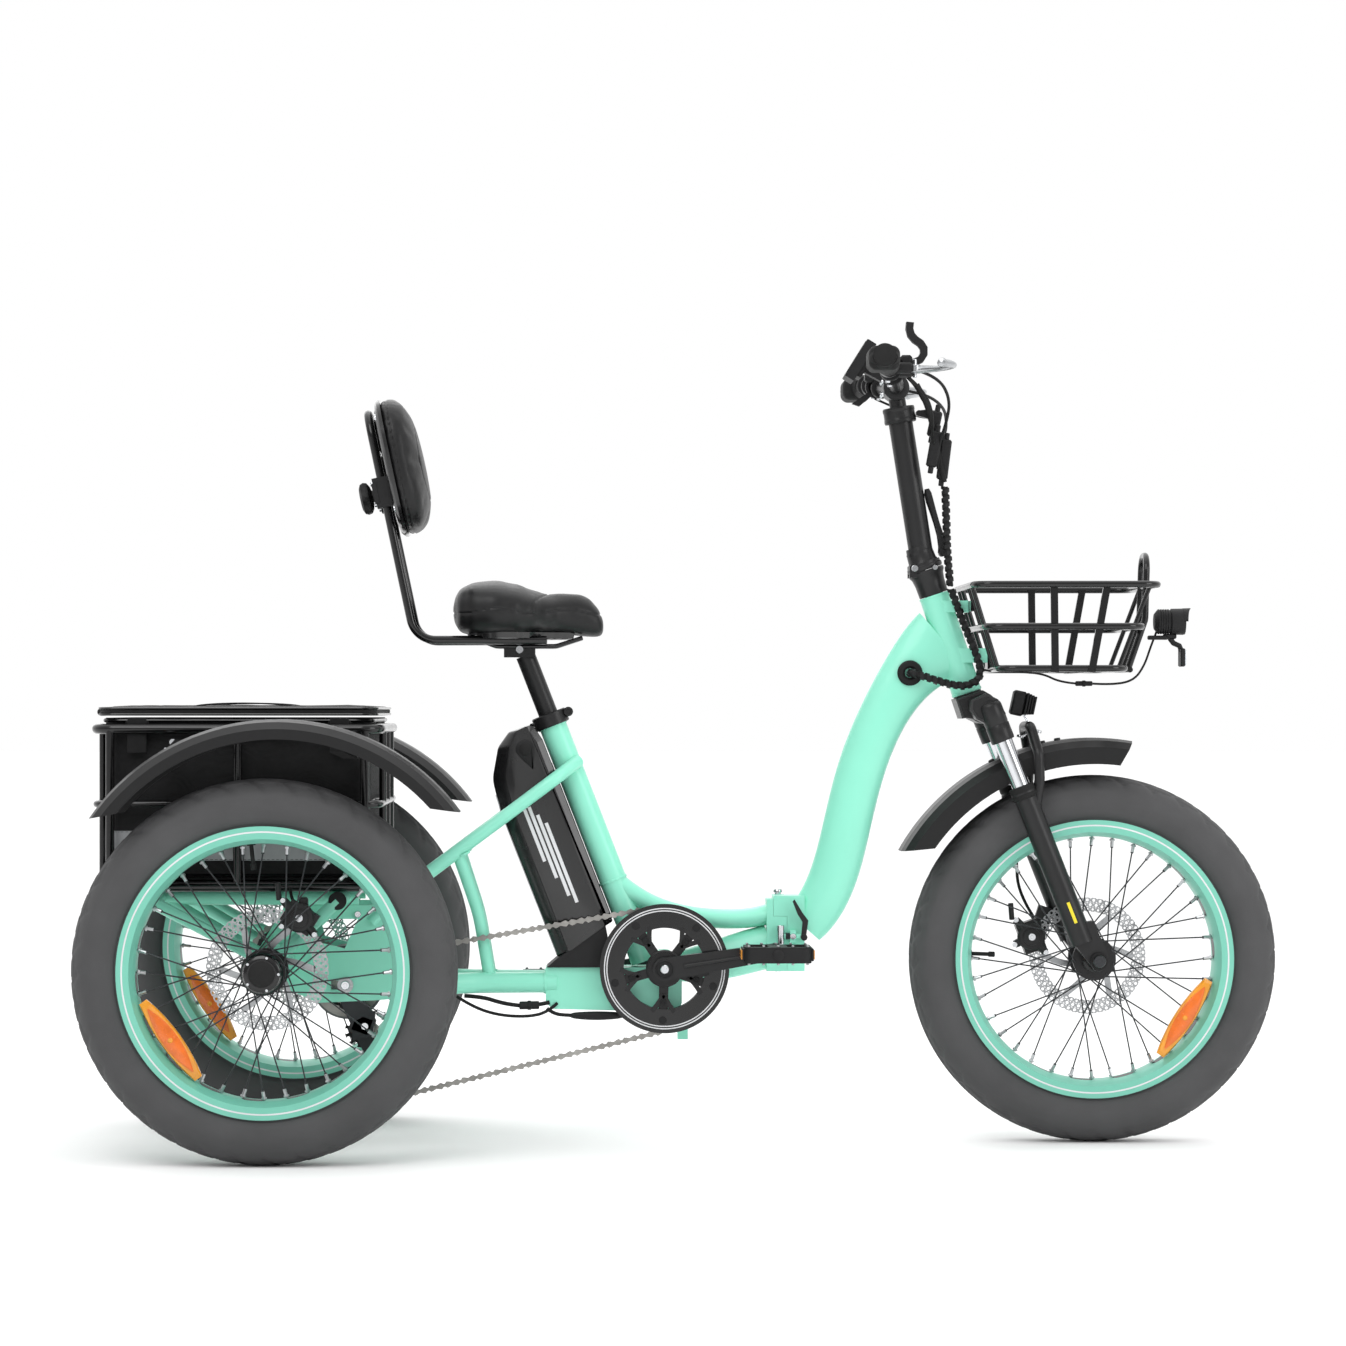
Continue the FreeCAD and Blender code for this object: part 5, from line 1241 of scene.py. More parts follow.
def ribbon(made, points, across, width, thick):
    """Flat webbing along points, its width lying across."""
    verts = []
    for k, point in enumerate(points):
        ahead = points[min(k + 1, len(points) - 1)] - points[max(k - 1, 0)]
        normal = ahead.cross(across).normalized()
        for side, up in ((-1, -1), (1, -1), (1, 1), (-1, 1)):
            verts.append(point + across * side * width / 2 + normal * up * thick / 2)
    made.add(verts, skin(4, len(points)))


make_bag()
make_lid()


# ---------------------------------------------------------------- cables
def make_cables():
    """Looms from the handlebar past the stem fold and the head tube to the frame grommet."""
    loom = spline_curve("handlebar_loom", [(0.352, -0.020, 1.160), (0.366, -0.021, 1.135),
                                           (0.376, -0.023, 1.095), (0.386, -0.024, 1.050),
                                           (0.394, -0.024, 1.010)], 0.0042, "handlebar")
    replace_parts(loom, "bar_cables")
    lower = spline_curve("stem_cable_loom", [(0.395, -0.024, 1.003), (0.397, -0.024, 0.960),
                                             (0.398, -0.025, 0.900), (0.403, -0.028, 0.851)], 0.0045,
                         "stem")
    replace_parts(lower, "stem_loom")
    turn = [(0.404, -0.0285, 0.846), (0.424, -0.033, 0.790), (0.444, -0.035, 0.742), (0.450, -0.038, 0.712),
            (0.430, -0.040, 0.698), (0.405, -0.042, 0.699), (0.375, -0.046, 0.708), (0.345, -0.048, 0.718),
            (0.341, -0.036, 0.718), (0.341, -0.0265, 0.718)]
    last = spline_curve("frame_cable_loom", turn, 0.0045, "front_frame")
    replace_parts(last, "frame_loom")
    for curve, body in ((lower, "stem"), (last, "front_frame")):
        wrap = Builder()
        spiral_wrap(wrap, curve_points(curve, 0.0016), 0.0058, 0.0105)
        wrap.piece(curve.name + "_wrap", PLASTIC, body)
    grommet = Builder()
    grommet.lathe(at(0.341, -0.0255, 0.718), -Y_AXIS, [(0.0075, 0), (0.0190, 0), (0.0195, 0.003),
                                                       (0.0165, 0.0065), (0.0110, 0.0072), (0.0082, 0.0050)],
                  36, closed=True)
    grommet.piece("cable_grommet", SOFT_RUBBER, "front_frame")
    boxes = Builder()
    for x, y, z, tilt, tall in ((0.378, -0.030, 1.060, 10, 0.055), (0.394, -0.018, 1.045, 7, 0.062),
                                (0.380, -0.012, 1.100, 12, 0.040)):
        spot, turn_box = at(x, y, z), Matrix.Rotation(math.radians(tilt), 3, "Y")
        boxes.box(spot, (0.017, 0.012, tall), turn_box, 0.003)
        for end in (1, -1):
            tail, tip = at(0, 0, end * (tall / 2 - 0.001)), at(0, 0, end * (tall / 2 + 0.010))
            boxes.rod(spot + turn_box @ tail, spot + turn_box @ tip, 0.0042, 12, 0.001)
    boxes.piece("cable_connectors", PLASTIC, "handlebar")
    thin = (("brake_hose_right", [(0.338, -0.192, 1.168), (0.372, -0.170, 1.160), (0.396, -0.110, 1.130),
                                  (0.394, -0.050, 1.096), (0.384, -0.030, 1.066), (0.384, -0.026, 1.030)],
             0.0024), ("brake_hose_left", [(0.338, 0.192, 1.168), (0.374, 0.165, 1.162),
                                           (0.404, 0.100, 1.136), (0.402, 0.020, 1.100),
                                           (0.392, -0.014, 1.074), (0.392, -0.020, 1.040)], 0.0024),
            ("shift_cable", [(0.330, -0.152, 1.160), (0.356, -0.130, 1.140), (0.372, -0.080, 1.110),
                             (0.374, -0.040, 1.080), (0.380, -0.028, 1.056)], 0.0021),
            ("throttle_wire", [(0.300, 0.146, 1.150), (0.334, 0.120, 1.132), (0.366, 0.060, 1.114),
                               (0.380, 0.010, 1.112), (0.380, -0.012, 1.110)], 0.0018),
            ("display_wire", [(0.300, 0.006, 1.176), (0.330, 0.012, 1.182), (0.352, 0.004, 1.160),
                              (0.364, -0.012, 1.130), (0.378, -0.014, 1.118)], 0.0018))
    for name, points, radius in thin:
        spline_curve(name, points, radius, "handlebar")
    spline_curve("lamp_wire", [(0.724, 0.004, 0.786), (0.714, 0.006, 0.760), (0.704, 0.004, 0.730),
                               (0.686, -0.004, 0.706), (0.650, -0.010, 0.700), (0.620, -0.010, 0.702)],
                 0.0017, "front_frame")
    spline_curve("lamp_wire_rear", [(0.598, -0.010, 0.702), (0.572, -0.012, 0.704), (0.545, -0.018, 0.7175),
                                    (0.500, -0.026, 0.7200), (0.462, -0.034, 0.7200),
                                    (0.449, -0.038, 0.724)], 0.0017, "front_frame")
    plug = Builder()
    plug.rod(at(0.596, -0.010, 0.702), at(0.622, -0.010, 0.702), 0.0038, 14, 0.001)
    plug.rod(at(0.606, -0.010, 0.702), at(0.612, -0.010, 0.702), 0.0048, 14, 0.001)
    plug.piece("lamp_connector", PLASTIC, "front_frame")
    under = [(-0.340, -0.044, 0.2255), (-0.312, -0.046, 0.2240), (-0.285, -0.044, 0.2150),
             (-0.262, -0.042, 0.2110), (-0.240, -0.040, 0.2090), (-0.210, -0.037, 0.2150)]
    spline_curve("motor_wire", under, 0.0032, "rear_frame")
    droop = [(-0.352, -0.048, 0.2250), (-0.325, -0.052, 0.2080), (-0.285, -0.053, 0.1960),
             (-0.240, -0.050, 0.1940), (-0.212, -0.041, 0.2010), (-0.198, -0.0375, 0.2140)]
    spline_curve("brake_hose_lower", droop, 0.0024, "rear_frame")
    hose = [(0.548, 0.078, 0.330), (0.520, 0.092, 0.372), (0.516, 0.098, 0.430), (0.522, 0.095, 0.480),
            (0.520, 0.090, 0.520)]
    spline_curve("front_brake_hose", hose, 0.0024, "fork_lowers")
    for side in (-1, 1):
        tail = [(-0.585, side * 0.268, 0.378), (-0.600, side * 0.240, 0.402), (-0.560, side * 0.180, 0.418),
                (-0.500, side * 0.110, 0.400), (-0.455, side * 0.094, 0.360), (-0.420, side * 0.086, 0.300),
                (-0.380, side * 0.070, 0.266)]
        spline_curve("rear_brake_hose_" + ("left" if side > 0 else "right"), tail, 0.0024, "rear_frame")
    clip = Builder()
    clip.rod(at(-0.256, -0.0405, 0.2105), at(-0.226, -0.0385, 0.2110), 0.0062, 16, 0.001)
    clip.rod(at(-0.244, -0.0400, 0.2107), at(-0.238, -0.0393, 0.2108), 0.0072, 16, 0.001)
    clip.piece("motor_connector", PLASTIC, "rear_frame")


def spiral_wrap(made, points, radius, pitch):
    """A flat spiral strip wound round a cable."""
    strip = []
    side = None
    travelled = 0.0
    for k, point in enumerate(points[:-1]):
        ahead = (points[k + 1] - point)
        travelled += ahead.length
        ahead.normalize()
        if side is None:
            side = ahead.orthogonal().normalized()
        side = (side - ahead * side.dot(ahead)).normalized()
        other = ahead.cross(side)
        angle = 2 * math.pi * travelled / pitch
        out = side * math.cos(angle) + other * math.sin(angle)
        strip.append((point, ahead.copy(), out))
    verts = []
    for point, ahead, out in strip:
        for across, lift in ((-1, -0.0006), (1, -0.0006), (1, 0.0007), (-1, 0.0007)):
            verts.append(point + out * (radius + lift) + ahead * across * 0.0030)
    made.add(verts, skin(4, len(strip)))


make_cables()


# ---------------------------------------------------------------- battery
SEAT_TILT = math.radians(21.3)
SEAT_DOWN = at(math.sin(SEAT_TILT), 0, -math.cos(SEAT_TILT))
SEAT_REAR = at(SEAT_DOWN.z, 0, -SEAT_DOWN.x)
SEAT_TOP = at(-0.208, 0, 0.6445)


def seat_spot(down, rear, y=0.0):
    """A place measured down the seat tube and out behind it."""
    return SEAT_TOP + SEAT_DOWN * down + SEAT_REAR * rear + Y_AXIS * y


def rounded_outline(corners, radii, steps=8):
    """A closed outline with each corner rounded by its own radius."""
    count = len(corners)
    points = []
    for k, (corner, radius) in enumerate(zip(corners, radii)):
        before = (corners[k - 1] - corner).normalized()
        after = (corners[(k + 1) % count] - corner).normalized()
        half = math.acos(max(-1, min(1, before.dot(after)))) / 2
        reach = min(radius / math.tan(half), (corners[k - 1] - corner).length * 0.48,
                    (corners[(k + 1) % count] - corner).length * 0.48)
        start, end = corner + before * reach, corner + after * reach
        for i in range(steps + 1):
            t = i / steps
            points.append(start * (1 - t) ** 2 + corner * 2 * t * (1 - t) + end * t ** 2)
    return points


def layered(made, outline, levels):
    """A body built from one outline at several places across, each drawn in by an inset."""
    count = len(outline)
    middle = sum(outline, at(0, 0, 0)) / count
    verts = []
    for y, inset in levels:
        for k, point in enumerate(outline):
            along = outline[(k + 1) % count] - outline[k - 1]
            normal = at(-along.z, 0, along.x).normalized()
            if normal.dot(middle - point) < 0:
                normal = -normal
            verts.append(point + normal * inset + Y_AXIS * y)
    made.add(verts, skin(count, len(levels)))


def make_battery():
    """The battery case with its cheeks, trim, lock and stripes."""
    edge = ((0.014, 0.0365), (-0.007, 0.0362), (-0.008, 0.066), (0.008, 0.090), (0.050, 0.1155),
            (0.100, 0.1225), (0.340, 0.122), (0.321, 0.0365))
    face = ((0.014, 0.0365), (-0.0065, 0.0364), (-0.005, 0.056), (0.014, 0.072), (0.056, 0.0945),
            (0.106, 0.1020), (0.338, 0.1015), (0.321, 0.0367))
    radii = (0.004, 0.004, 0.010, 0.024, 0.050, 0.120, 0.004, 0.004)

    def loop_at(y, amount):
        """The outline part of the way from the battery's edge shape to its face shape."""
        spots = [seat_spot(*outer).lerp(seat_spot(*inner), amount) for outer, inner in zip(edge, face)]
        return [p + Y_AXIS * y for p in rounded_outline(spots, radii)]

    levels = ((0.0445, 1.0), (0.0438, 0.90), (0.0405, 0.62), (0.0345, 0.16), (0.0310, 0.02), (0.0290, 0.0),
              (0.0040, 0.0), (0.0035, 0.05))
    made = Builder()
    loft(made, [loop_at(-y, amount) for y, amount in levels]
         + [loop_at(y, amount) for y, amount in reversed(levels)])
    corners = [seat_spot(*spot) for spot in ((0.022, 0.0228), (-0.006, 0.0290), (-0.0065, 0.052),
                                             (0.020, 0.070), (0.3280, 0.070), (0.3190, 0.0228))]
    cheek = rounded_outline(corners, (0.010, 0.010, 0.014, 0.030, 0.006, 0.004))
    for side in (-1, 1):
        layered(made, cheek, [(side * y, inset) for y, inset in
                              ((0.0386, 0.0), (0.0395, 0.0), (0.0435, 0.0080), (0.0443, 0.0095))])
    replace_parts(made.piece("battery_case", SHELL, "battery"), "battery")
    trim = Builder()
    for side in (-1, 1):
        spots = [(0.075, 0.1195), (0.110, 0.1215), (0.160, 0.1218), (0.220, 0.1216), (0.280, 0.1213),
                 (0.334, 0.1208)]
        line = [seat_spot(d, r, side * 0.0300) for d, r in spots]
        ribbon(trim, line, Y_AXIS, 0.0040, 0.0016)
    trim.piece("battery_edge_trim", STEEL, "battery")
    lock, key = Builder(), Builder()
    spot = seat_spot(0.026, 0.052, -0.0448)
    drop = []
    for c, s in turns(28):
        long = 0.0155 * c if c > 0 else 0.0330 * c
        wide = 0.0150 * s * (1 if c > 0 else (1 + c) ** 0.6)
        drop.append(spot - SEAT_DOWN * long + SEAT_REAR * wide)
    layered(lock, [p - Y_AXIS * p.y for p in drop], ((-0.0440, 0.0), (-0.0452, 0.0004), (-0.0458, 0.0016)))
    lock.piece("battery_lock_cover", PLASTIC, "battery")
    key.lathe(spot - Y_AXIS * 0.0004, -Y_AXIS, [(0.0092, 0), (0.0092, 0.0018), (0.0080, 0.0026),
                                                (0.0002, 0.0026)], 28)
    key.piece("battery_lock", SOFT_RUBBER, "battery")
    stripes = Builder()
    for index, (start, end) in enumerate(((0.096, 0.196), (0.110, 0.226), (0.126, 0.258), (0.142, 0.272))):
        rear = 0.0865 - 0.0078 * index
        line = [seat_spot(start + (end - start) * k / 6, rear, -0.0449) for k in range(7)]
        ribbon(stripes, line, SEAT_REAR, 0.0052, 0.0006)
    stripes.piece("battery_stripes", WHITE_LINE, "battery")


# ---------------------------------------------------------------- brakes
def disc_spot(centre, radius, y, angle):
    """A place on a wheel's disc, at an angle in radians."""
    return at(centre.x + radius * math.cos(angle), y, centre.z + radius * math.sin(angle))


def rotor_ring(made, centre, y0, y1):
    """Drilled brake disc: rows of round holes, six curved arms and a hub ring."""
    rows = ((0.0685, 0.0755, 0.0018, 0.0), (0.0755, 0.0825, 0.0023, 0.5), (0.0825, 0.0900, 0.0023, 0.0))
    sectors = 54
    for low, high, hole, shift in rows:
        for k in range(sectors):
            start = 2 * math.pi * (k + shift) / sectors
            rotor_cell(made, centre, low, high, start, 2 * math.pi / sectors, hole, y0, y1)
    shares = [k / 8 for k in range(9)]
    for arm in range(6):
        ribbon_flat(made, [disc_spot(centre, 0.022 + 0.048 * share, (y0 + y1) / 2, math.radians(60 * arm)
                                     + 0.55 * (1 - share) ** 1.5) for share in shares], 0.0095, y1 - y0)
    made.lathe(at(centre.x, y0, centre.z), Y_AXIS, [(0.0125, 0), (0.0265, 0), (0.0265, y1 - y0),
                                                    (0.0125, y1 - y0)], 48, closed=True)


def ribbon_flat(made, line, width, thick):
    """A flat arm in the plane of the wheel."""
    verts = []
    for k, point in enumerate(line):
        ahead = (line[min(k + 1, len(line) - 1)] - line[max(k - 1, 0)]).normalized()
        across = ahead.cross(Y_AXIS)
        for side, up in ((-1, -1), (1, -1), (1, 1), (-1, 1)):
            verts.append(point + across * side * width / 2 + Y_AXIS * up * thick / 2)
    made.add(verts, skin(4, len(line)))


def rotor_cell(made, centre, low, high, start, sweep, hole, y0, y1):
    """One piece of the ring round one hole."""
    count = 12
    middle_r, middle_a = (low + high) / 2, start + sweep / 2
    verts = []
    for y in (y0, y1):
        for c, s in turns(count):
            stretch = 1 / max(abs(c), abs(s))
            radius = middle_r + (high - low) / 2 * c * stretch
            angle = middle_a + sweep / 2 * s * stretch
            verts.append(disc_spot(centre, radius, y, angle))
        for c, s in turns(count):
            verts.append(disc_spot(centre, middle_r + hole * c, y, middle_a + hole * s / middle_r))
    faces = []
    for k in range(count):
        j = (k + 1) % count
        faces.append([k, j, count + j, count + k])
        faces.append([2 * count + j, 2 * count + k, 3 * count + k, 3 * count + j])
        faces.append([count + k, count + j, 3 * count + j, 3 * count + k])
        faces.append([j, k, 2 * count + k, 2 * count + j])
    made.add(verts, faces)


def dress_caliper(name, outward, spot, mount, body):
    """Cast arms, adjuster, cable stop and bolts on a brake caliper."""
    cast, bright = Builder(), Builder()
    face = spot + Y_AXIS * outward
    side = Y_AXIS * (1 if outward > 0 else -1)
    cast.lathe(face - side * 0.006, side, [(0.0215, 0), (0.0215, 0.009), (0.0190, 0.012), (0.0120, 0.0125)],
               28)
    cast.lathe(face + side * 0.005, side, [(0.0135, 0), (0.0130, 0.004), (0.0090, 0.0045)], 24)
    bright.hexagon(face + side * 0.0088, side, 0.0062, 0.0046)
    for dx, dz in ((-0.024, 0.026), (0.022, -0.024), (-0.026, -0.012)):
        end = face + at(dx, 0, dz)
        cast.tube([face.lerp(end, k / 8) - side * 0.001 for k in range(9)], lambda s: 0.0082 - 0.0022 * s,
                  10)
        bright.hexagon(end + side * 0.0045, side, 0.0042, 0.0034)
    cast.rod(face + at(-0.030, 0, 0.026), face + at(-0.032, 0, 0.052), 0.0042, 12, 0.001)
    cast.box(spot + mount * 0.5, (0.014, 0.012, 0.030), edge=0.003)
    cast.piece("caliper_casting_" + name, BLACK, body)
    bright.piece("caliper_bolts_" + name, CHROME, body)


ROTOR_SEAT, ROTOR_THICK = 0.055, 0.002


def make_brakes():
    """Drilled rotors and the castings and bolts of their calipers."""
    for name, hub in HUBS.items():
        made = Builder()
        seat, back = ROTOR_SEAT, ROTOR_SEAT + ROTOR_THICK
        if name == "left":
            seat, back = -back, -seat
        rotor_ring(made, hub, hub.y + seat, hub.y + back)
        made.piece("drilled_rotor_" + name, STEEL, "wheel_" + name)
    dress_caliper("front", -0.012, at(0.5343, 0.056, 0.311), at(0.02, 0, 0.02), "fork_lowers")
    for name, side in (("right", -1), ("left", 1)):
        spot = at(-0.5743, side * 0.294, 0.357)
        dress_caliper(name, side * 0.012, spot, at(0.01, 0, 0.03), "rear_frame")


# ---------------------------------------------------------------- lights
def make_lights():
    """The finned headlight with its visor and reflector, and the lamp over the crown."""
    face = at(0.722, 0, 0.797)
    lamp = Builder()
    outline = [(0.0120, -0.004), (0.0170, 0.000)]
    for k in range(5):
        outline += [(0.0192, 0.002 + k * 0.0036), (0.0192, 0.0038 + k * 0.0036),
                    (0.0178, 0.0042 + k * 0.0036), (0.0178, 0.0054 + k * 0.0036)]
    outline += [(0.0200, 0.022), (0.0203, 0.040), (0.0196, 0.043), (0.0180, 0.043), (0.0178, 0.038)]
    lamp.lathe(face, X_AXIS, outline, 44)
    visor, steps = [], 24
    for k in range(steps + 1):
        angle = math.pi * k / steps
        for reach, size in ((0.040, 0.0206), (0.052 - 0.006 * abs(math.cos(angle)), 0.0210),
                            (0.052 - 0.006 * abs(math.cos(angle)), 0.0192), (0.040, 0.0190)):
            visor.append(face + X_AXIS * reach + Y_AXIS * size * math.cos(angle) + Z_AXIS * size
                         * math.sin(angle))
    lamp.add(visor, skin(4, steps + 1))
    lamp.box(at(0.742, 0, 0.7745), (0.020, 0.012, 0.008), edge=0.002)
    lamp.tube([at(0.742, 0, 0.772), at(0.748, 0, 0.764), at(0.757, 0, 0.760), at(0.760, 0, 0.752)], 0.0042,
              10)
    lamp.box(at(0.7605, 0, 0.742), (0.007, 0.032, 0.028), edge=0.002)
    lamp.box(at(0.7235, 0, 0.7725), (0.030, 0.015, 0.0065), edge=0.002)
    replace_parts(lamp.piece("headlight_body", PLASTIC, "front_frame"), "headlight")
    glass = Builder()
    glass.lathe(face + X_AXIS * 0.0385, X_AXIS, [(0.0175, 0), (0.0172, 0.0028), (0.0120, 0.0045),
                                                 (0.0002, 0.0052)], 40)
    glass.piece("headlight_lens", LENS, "front_frame")
    plate = Builder()
    plate.box(at(0.7648, 0, 0.742), (0.0018, 0.028, 0.024), edge=0.0006)
    plate.piece("front_reflector", LENS, "front_frame")
    horn, wire = Builder(), Builder()
    centre = at(0.5150, 0, 0.6720)
    lean = Matrix.Rotation(math.radians(12), 3, "Y")
    horn.box(centre + at(-0.006, 0, 0), (0.020, 0.030, 0.038), lean, 0.003)
    for k in range(4):
        horn.box(centre + lean @ at(0.006 + 0.0042 * k, 0, 0),
                 (0.0030, 0.036 - 0.002 * k, 0.034 - 0.002 * k), lean, 0.0012)
    horn.box(centre + lean @ at(0.004, 0, 0), (0.022, 0.016, 0.020), lean, 0.002)
    horn.piece("crown_lamp", PLASTIC, "fork_lowers")
    for side in (-1, 1):
        y = side * 0.009
        wire.tube([at(0.517, y, 0.656), at(0.523, y, 0.647), at(0.526, y, 0.637), at(0.524, y, 0.628),
                   at(0.518, y, 0.621)], 0.0015, 8)
    for x, z in ((0.512, 0.619), (0.540, 0.6265)):
        wire.hexagon(at(x, 0, z), at(0.20, 0, 0.98), 0.0052, 0.0044)
    wire.piece("crown_lamp_bracket", CHROME, "fork_lowers")


# ---------------------------------------------------------------- handlebar
PALM = at(0.280, 0, 1.175)
STEM_TOP = at(0.327, 0, 1.114)
STEM_DOWN = at(0.037, 0, -0.236).normalized()


def bar_spot(y):
    """The middle of the swept bar at a place across."""
    middle = STEM_TOP - STEM_DOWN * 0.0415
    reach = min(max((abs(y) - 0.040) / 0.180, 0), 1)
    return at(middle.x - 0.028 * reach, y, middle.z + 0.022 * reach)


def dress_handlebar():
    """Grip ribs, palm rests, clamps, levers, shift paddle, switches and display."""
    ribs, trim, bright, glass = Builder(), Builder(), Builder(), Builder()
    for side in (-1, 1):
        inner, outer = bar_spot(side * 0.222), at(0.280, side * 0.340, 1.178)
        along = (outer - inner).normalized()
        for k in range(22):
            spot = inner + along * (0.008 + 0.0050 * k)
            ribs.lathe(spot, along, [(0.0168, 0), (0.0178, 0.0008), (0.0178, 0.0022), (0.0168, 0.0030)], 26)
        cap = [(0.0005, 0.0030), (0.0120, 0.0026), (0.0160, 0.0010), (0.0170, -0.0030)]
        ribs.lathe(outer + along * 0.005, along, [(r, a) for r, a in reversed(cap)], 26)
        oval = [PALM + X_AXIS * 0.0235 * c + Z_AXIS * 0.0185 * s for c, s in turns(30)]
        layered(ribs, oval, [(side * y, inset) for y, inset in
                             ((0.264, 0.0070), (0.270, 0.0025), (0.285, 0.0), (0.325, 0.0),
                              (0.336, 0.0016), (0.3415, 0.0050))])
        clamp = bar_spot(side * 0.212)
        trim.lathe(clamp - Y_AXIS * 0.005, Y_AXIS, [(0.0165, 0), (0.0180, 0.002), (0.0180, 0.008),
                                                    (0.0165, 0.010)], 28)
        lever = bar_spot(side * 0.190)
        trim.box(lever + at(0.020, 0, -0.002), (0.030, 0.024, 0.016), edge=0.004)
        bright.hexagon(lever + at(0.002, side * 0.0002, 0.0160), Z_AXIS, 0.0040, 0.0032)
        bright.rod(lever + at(0.038, 0, -0.0165), lever + at(0.038, 0, 0.0110), 0.0032, 14, 0.0006)
        trim.rod(lever + at(0.036, -side * 0.010, -0.002), lever + at(0.046, -side * 0.024, -0.003), 0.0052,
                 14, 0.001)
    for side, name in ((-1, "right"), (1, "left")):
        blade = Builder()
        pivot = bar_spot(side * 0.190) + at(0.038, 0, -0.003)
        blade.lathe(pivot - Z_AXIS * 0.0055, Z_AXIS, [(0.0002, 0), (0.0080, 0), (0.0090, 0.0010),
                                                      (0.0090, 0.0100), (0.0080, 0.0110), (0.0002, 0.0110)],
                    28)
        sweep = arc3((0, 0), (0.050, 0.058), (0.030, 0.128), 30)
        blade.tube([pivot + at(x, side * y, -0.0015) for x, y in sweep], lambda s: 0.0062 - 0.0022
                   * math.sin(math.pi * s), 14)
        blade.lathe(pivot + at(0.030, side * 0.128, -0.0015), at(-0.3, side, 0).normalized(),
                    [(0.0002, -0.0070), (0.0062, -0.0040), (0.0074, 0.0010), (0.0058, 0.0058),
                     (0.0002, 0.0076)], 20)
        lever = "brake_lever_" + name
        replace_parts(blade.piece("lever_blade_" + name, STEEL, lever), lever)
    paddle = Builder()
    bends = ((0.326, 1.181), (0.337, 1.182), (0.346, 1.186), (0.351, 1.194), (0.351, 1.203), (0.346, 1.2105),
             (0.338, 1.216), (0.332, 1.223), (0.3295, 1.232), (0.3305, 1.242))
    ribbon_flat(paddle, [at(x, -0.160, z) for x, z in bends], 0.0112, 0.0160)
    paddle.rod(at(0.3289, -0.170, 1.1817), at(0.3289, -0.150, 1.1817), 0.0070, 24, 0.001)
    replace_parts(paddle.piece("shift_paddle_blade", PLASTIC, "shift_paddle"), "shift_paddle")
    for y in (-0.165, -0.132, 0.120, 0.160):
        spot = bar_spot(y)
        trim.lathe(spot - Y_AXIS * 0.007, Y_AXIS, [(0.0150, 0), (0.0165, 0.002), (0.0165, 0.012),
                                                   (0.0150, 0.014)], 26)
        bright.hexagon(spot + at(-0.004, 0, -0.0160), -Z_AXIS, 0.0036, 0.0030)
    pod = bar_spot(-0.158)
    trim.box(pod + at(0.020, 0.004, 0.002), (0.032, 0.040, 0.022), edge=0.005)
    trim.box(pod + at(0.022, -0.004, 0.016), (0.018, 0.022, 0.014), edge=0.004)
    keys = bar_spot(0.128)
    trim.box(keys + at(-0.012, 0, 0.016), (0.026, 0.028, 0.014), edge=0.004)
    for k in range(3):
        glass.box(keys + at(-0.019 + 0.007 * k, 0, 0.0238), (0.0050, 0.010, 0.0020), edge=0.0006)
    lean = Matrix.Rotation(math.radians(-58), 3, "Y")
    centre = at(0.266, 0, 1.196)
    trim.box(centre + lean @ at(0, 0, 0.0074), (0.0655, 0.0715, 0.0030), lean, 0.0030)
    glass.box(centre + lean @ at(0.001, 0, 0.0090), (0.0560, 0.0620, 0.0016), lean, 0.0006)
    trim.box(centre + lean @ at(0, 0, -0.0095), (0.0460, 0.0600, 0.0090), lean, 0.0025)
    mast = bar_spot(0)
    for side in (-1, 1):
        trim.lathe(mast + Y_AXIS * side * 0.0240, Y_AXIS * side,
                   [(0.0200, 0), (0.0195, 0.003), (0.0150, 0.0055), (0.0112, 0.0055)], 32)
        for dx, dz in ((-0.0125, 0.010), (-0.0125, -0.010)):
            spot = mast + at(dx, side * 0.015, dz)
            bright.hexagon(spot - X_AXIS * 0.0068, -X_AXIS, 0.0040, 0.0034)
    ribs.piece("grip_ribs", SOFT_RUBBER, "handlebar")
    trim.piece("bar_fittings", PLASTIC, "handlebar")
    bright.piece("bar_screws", CHROME, "handlebar")
    glass.piece("display_face", SCREEN, "handlebar")


# ---------------------------------------------------------------- frame, stem and fork trim
def weld_bead(made, centre, axis, radius, size=0.0022):
    """A rippled weld round a tube's end."""
    axis = axis.normalized()
    side = axis.orthogonal().normalized()
    other = axis.cross(side)
    count = max(36, int(2 * math.pi * radius / 0.0024))
    verts = []
    for k, (c, s) in enumerate(turns(count)):
        out = side * c + other * s
        thick = size * (1 + 0.22 * math.sin(k * 2.1))
        verts += [centre + out * (radius + thick * 0.55 * across) + axis * thick * up
                  for across, up in turns(6)]
    made.add(verts, skin(6, count, caps=False, closed=True))


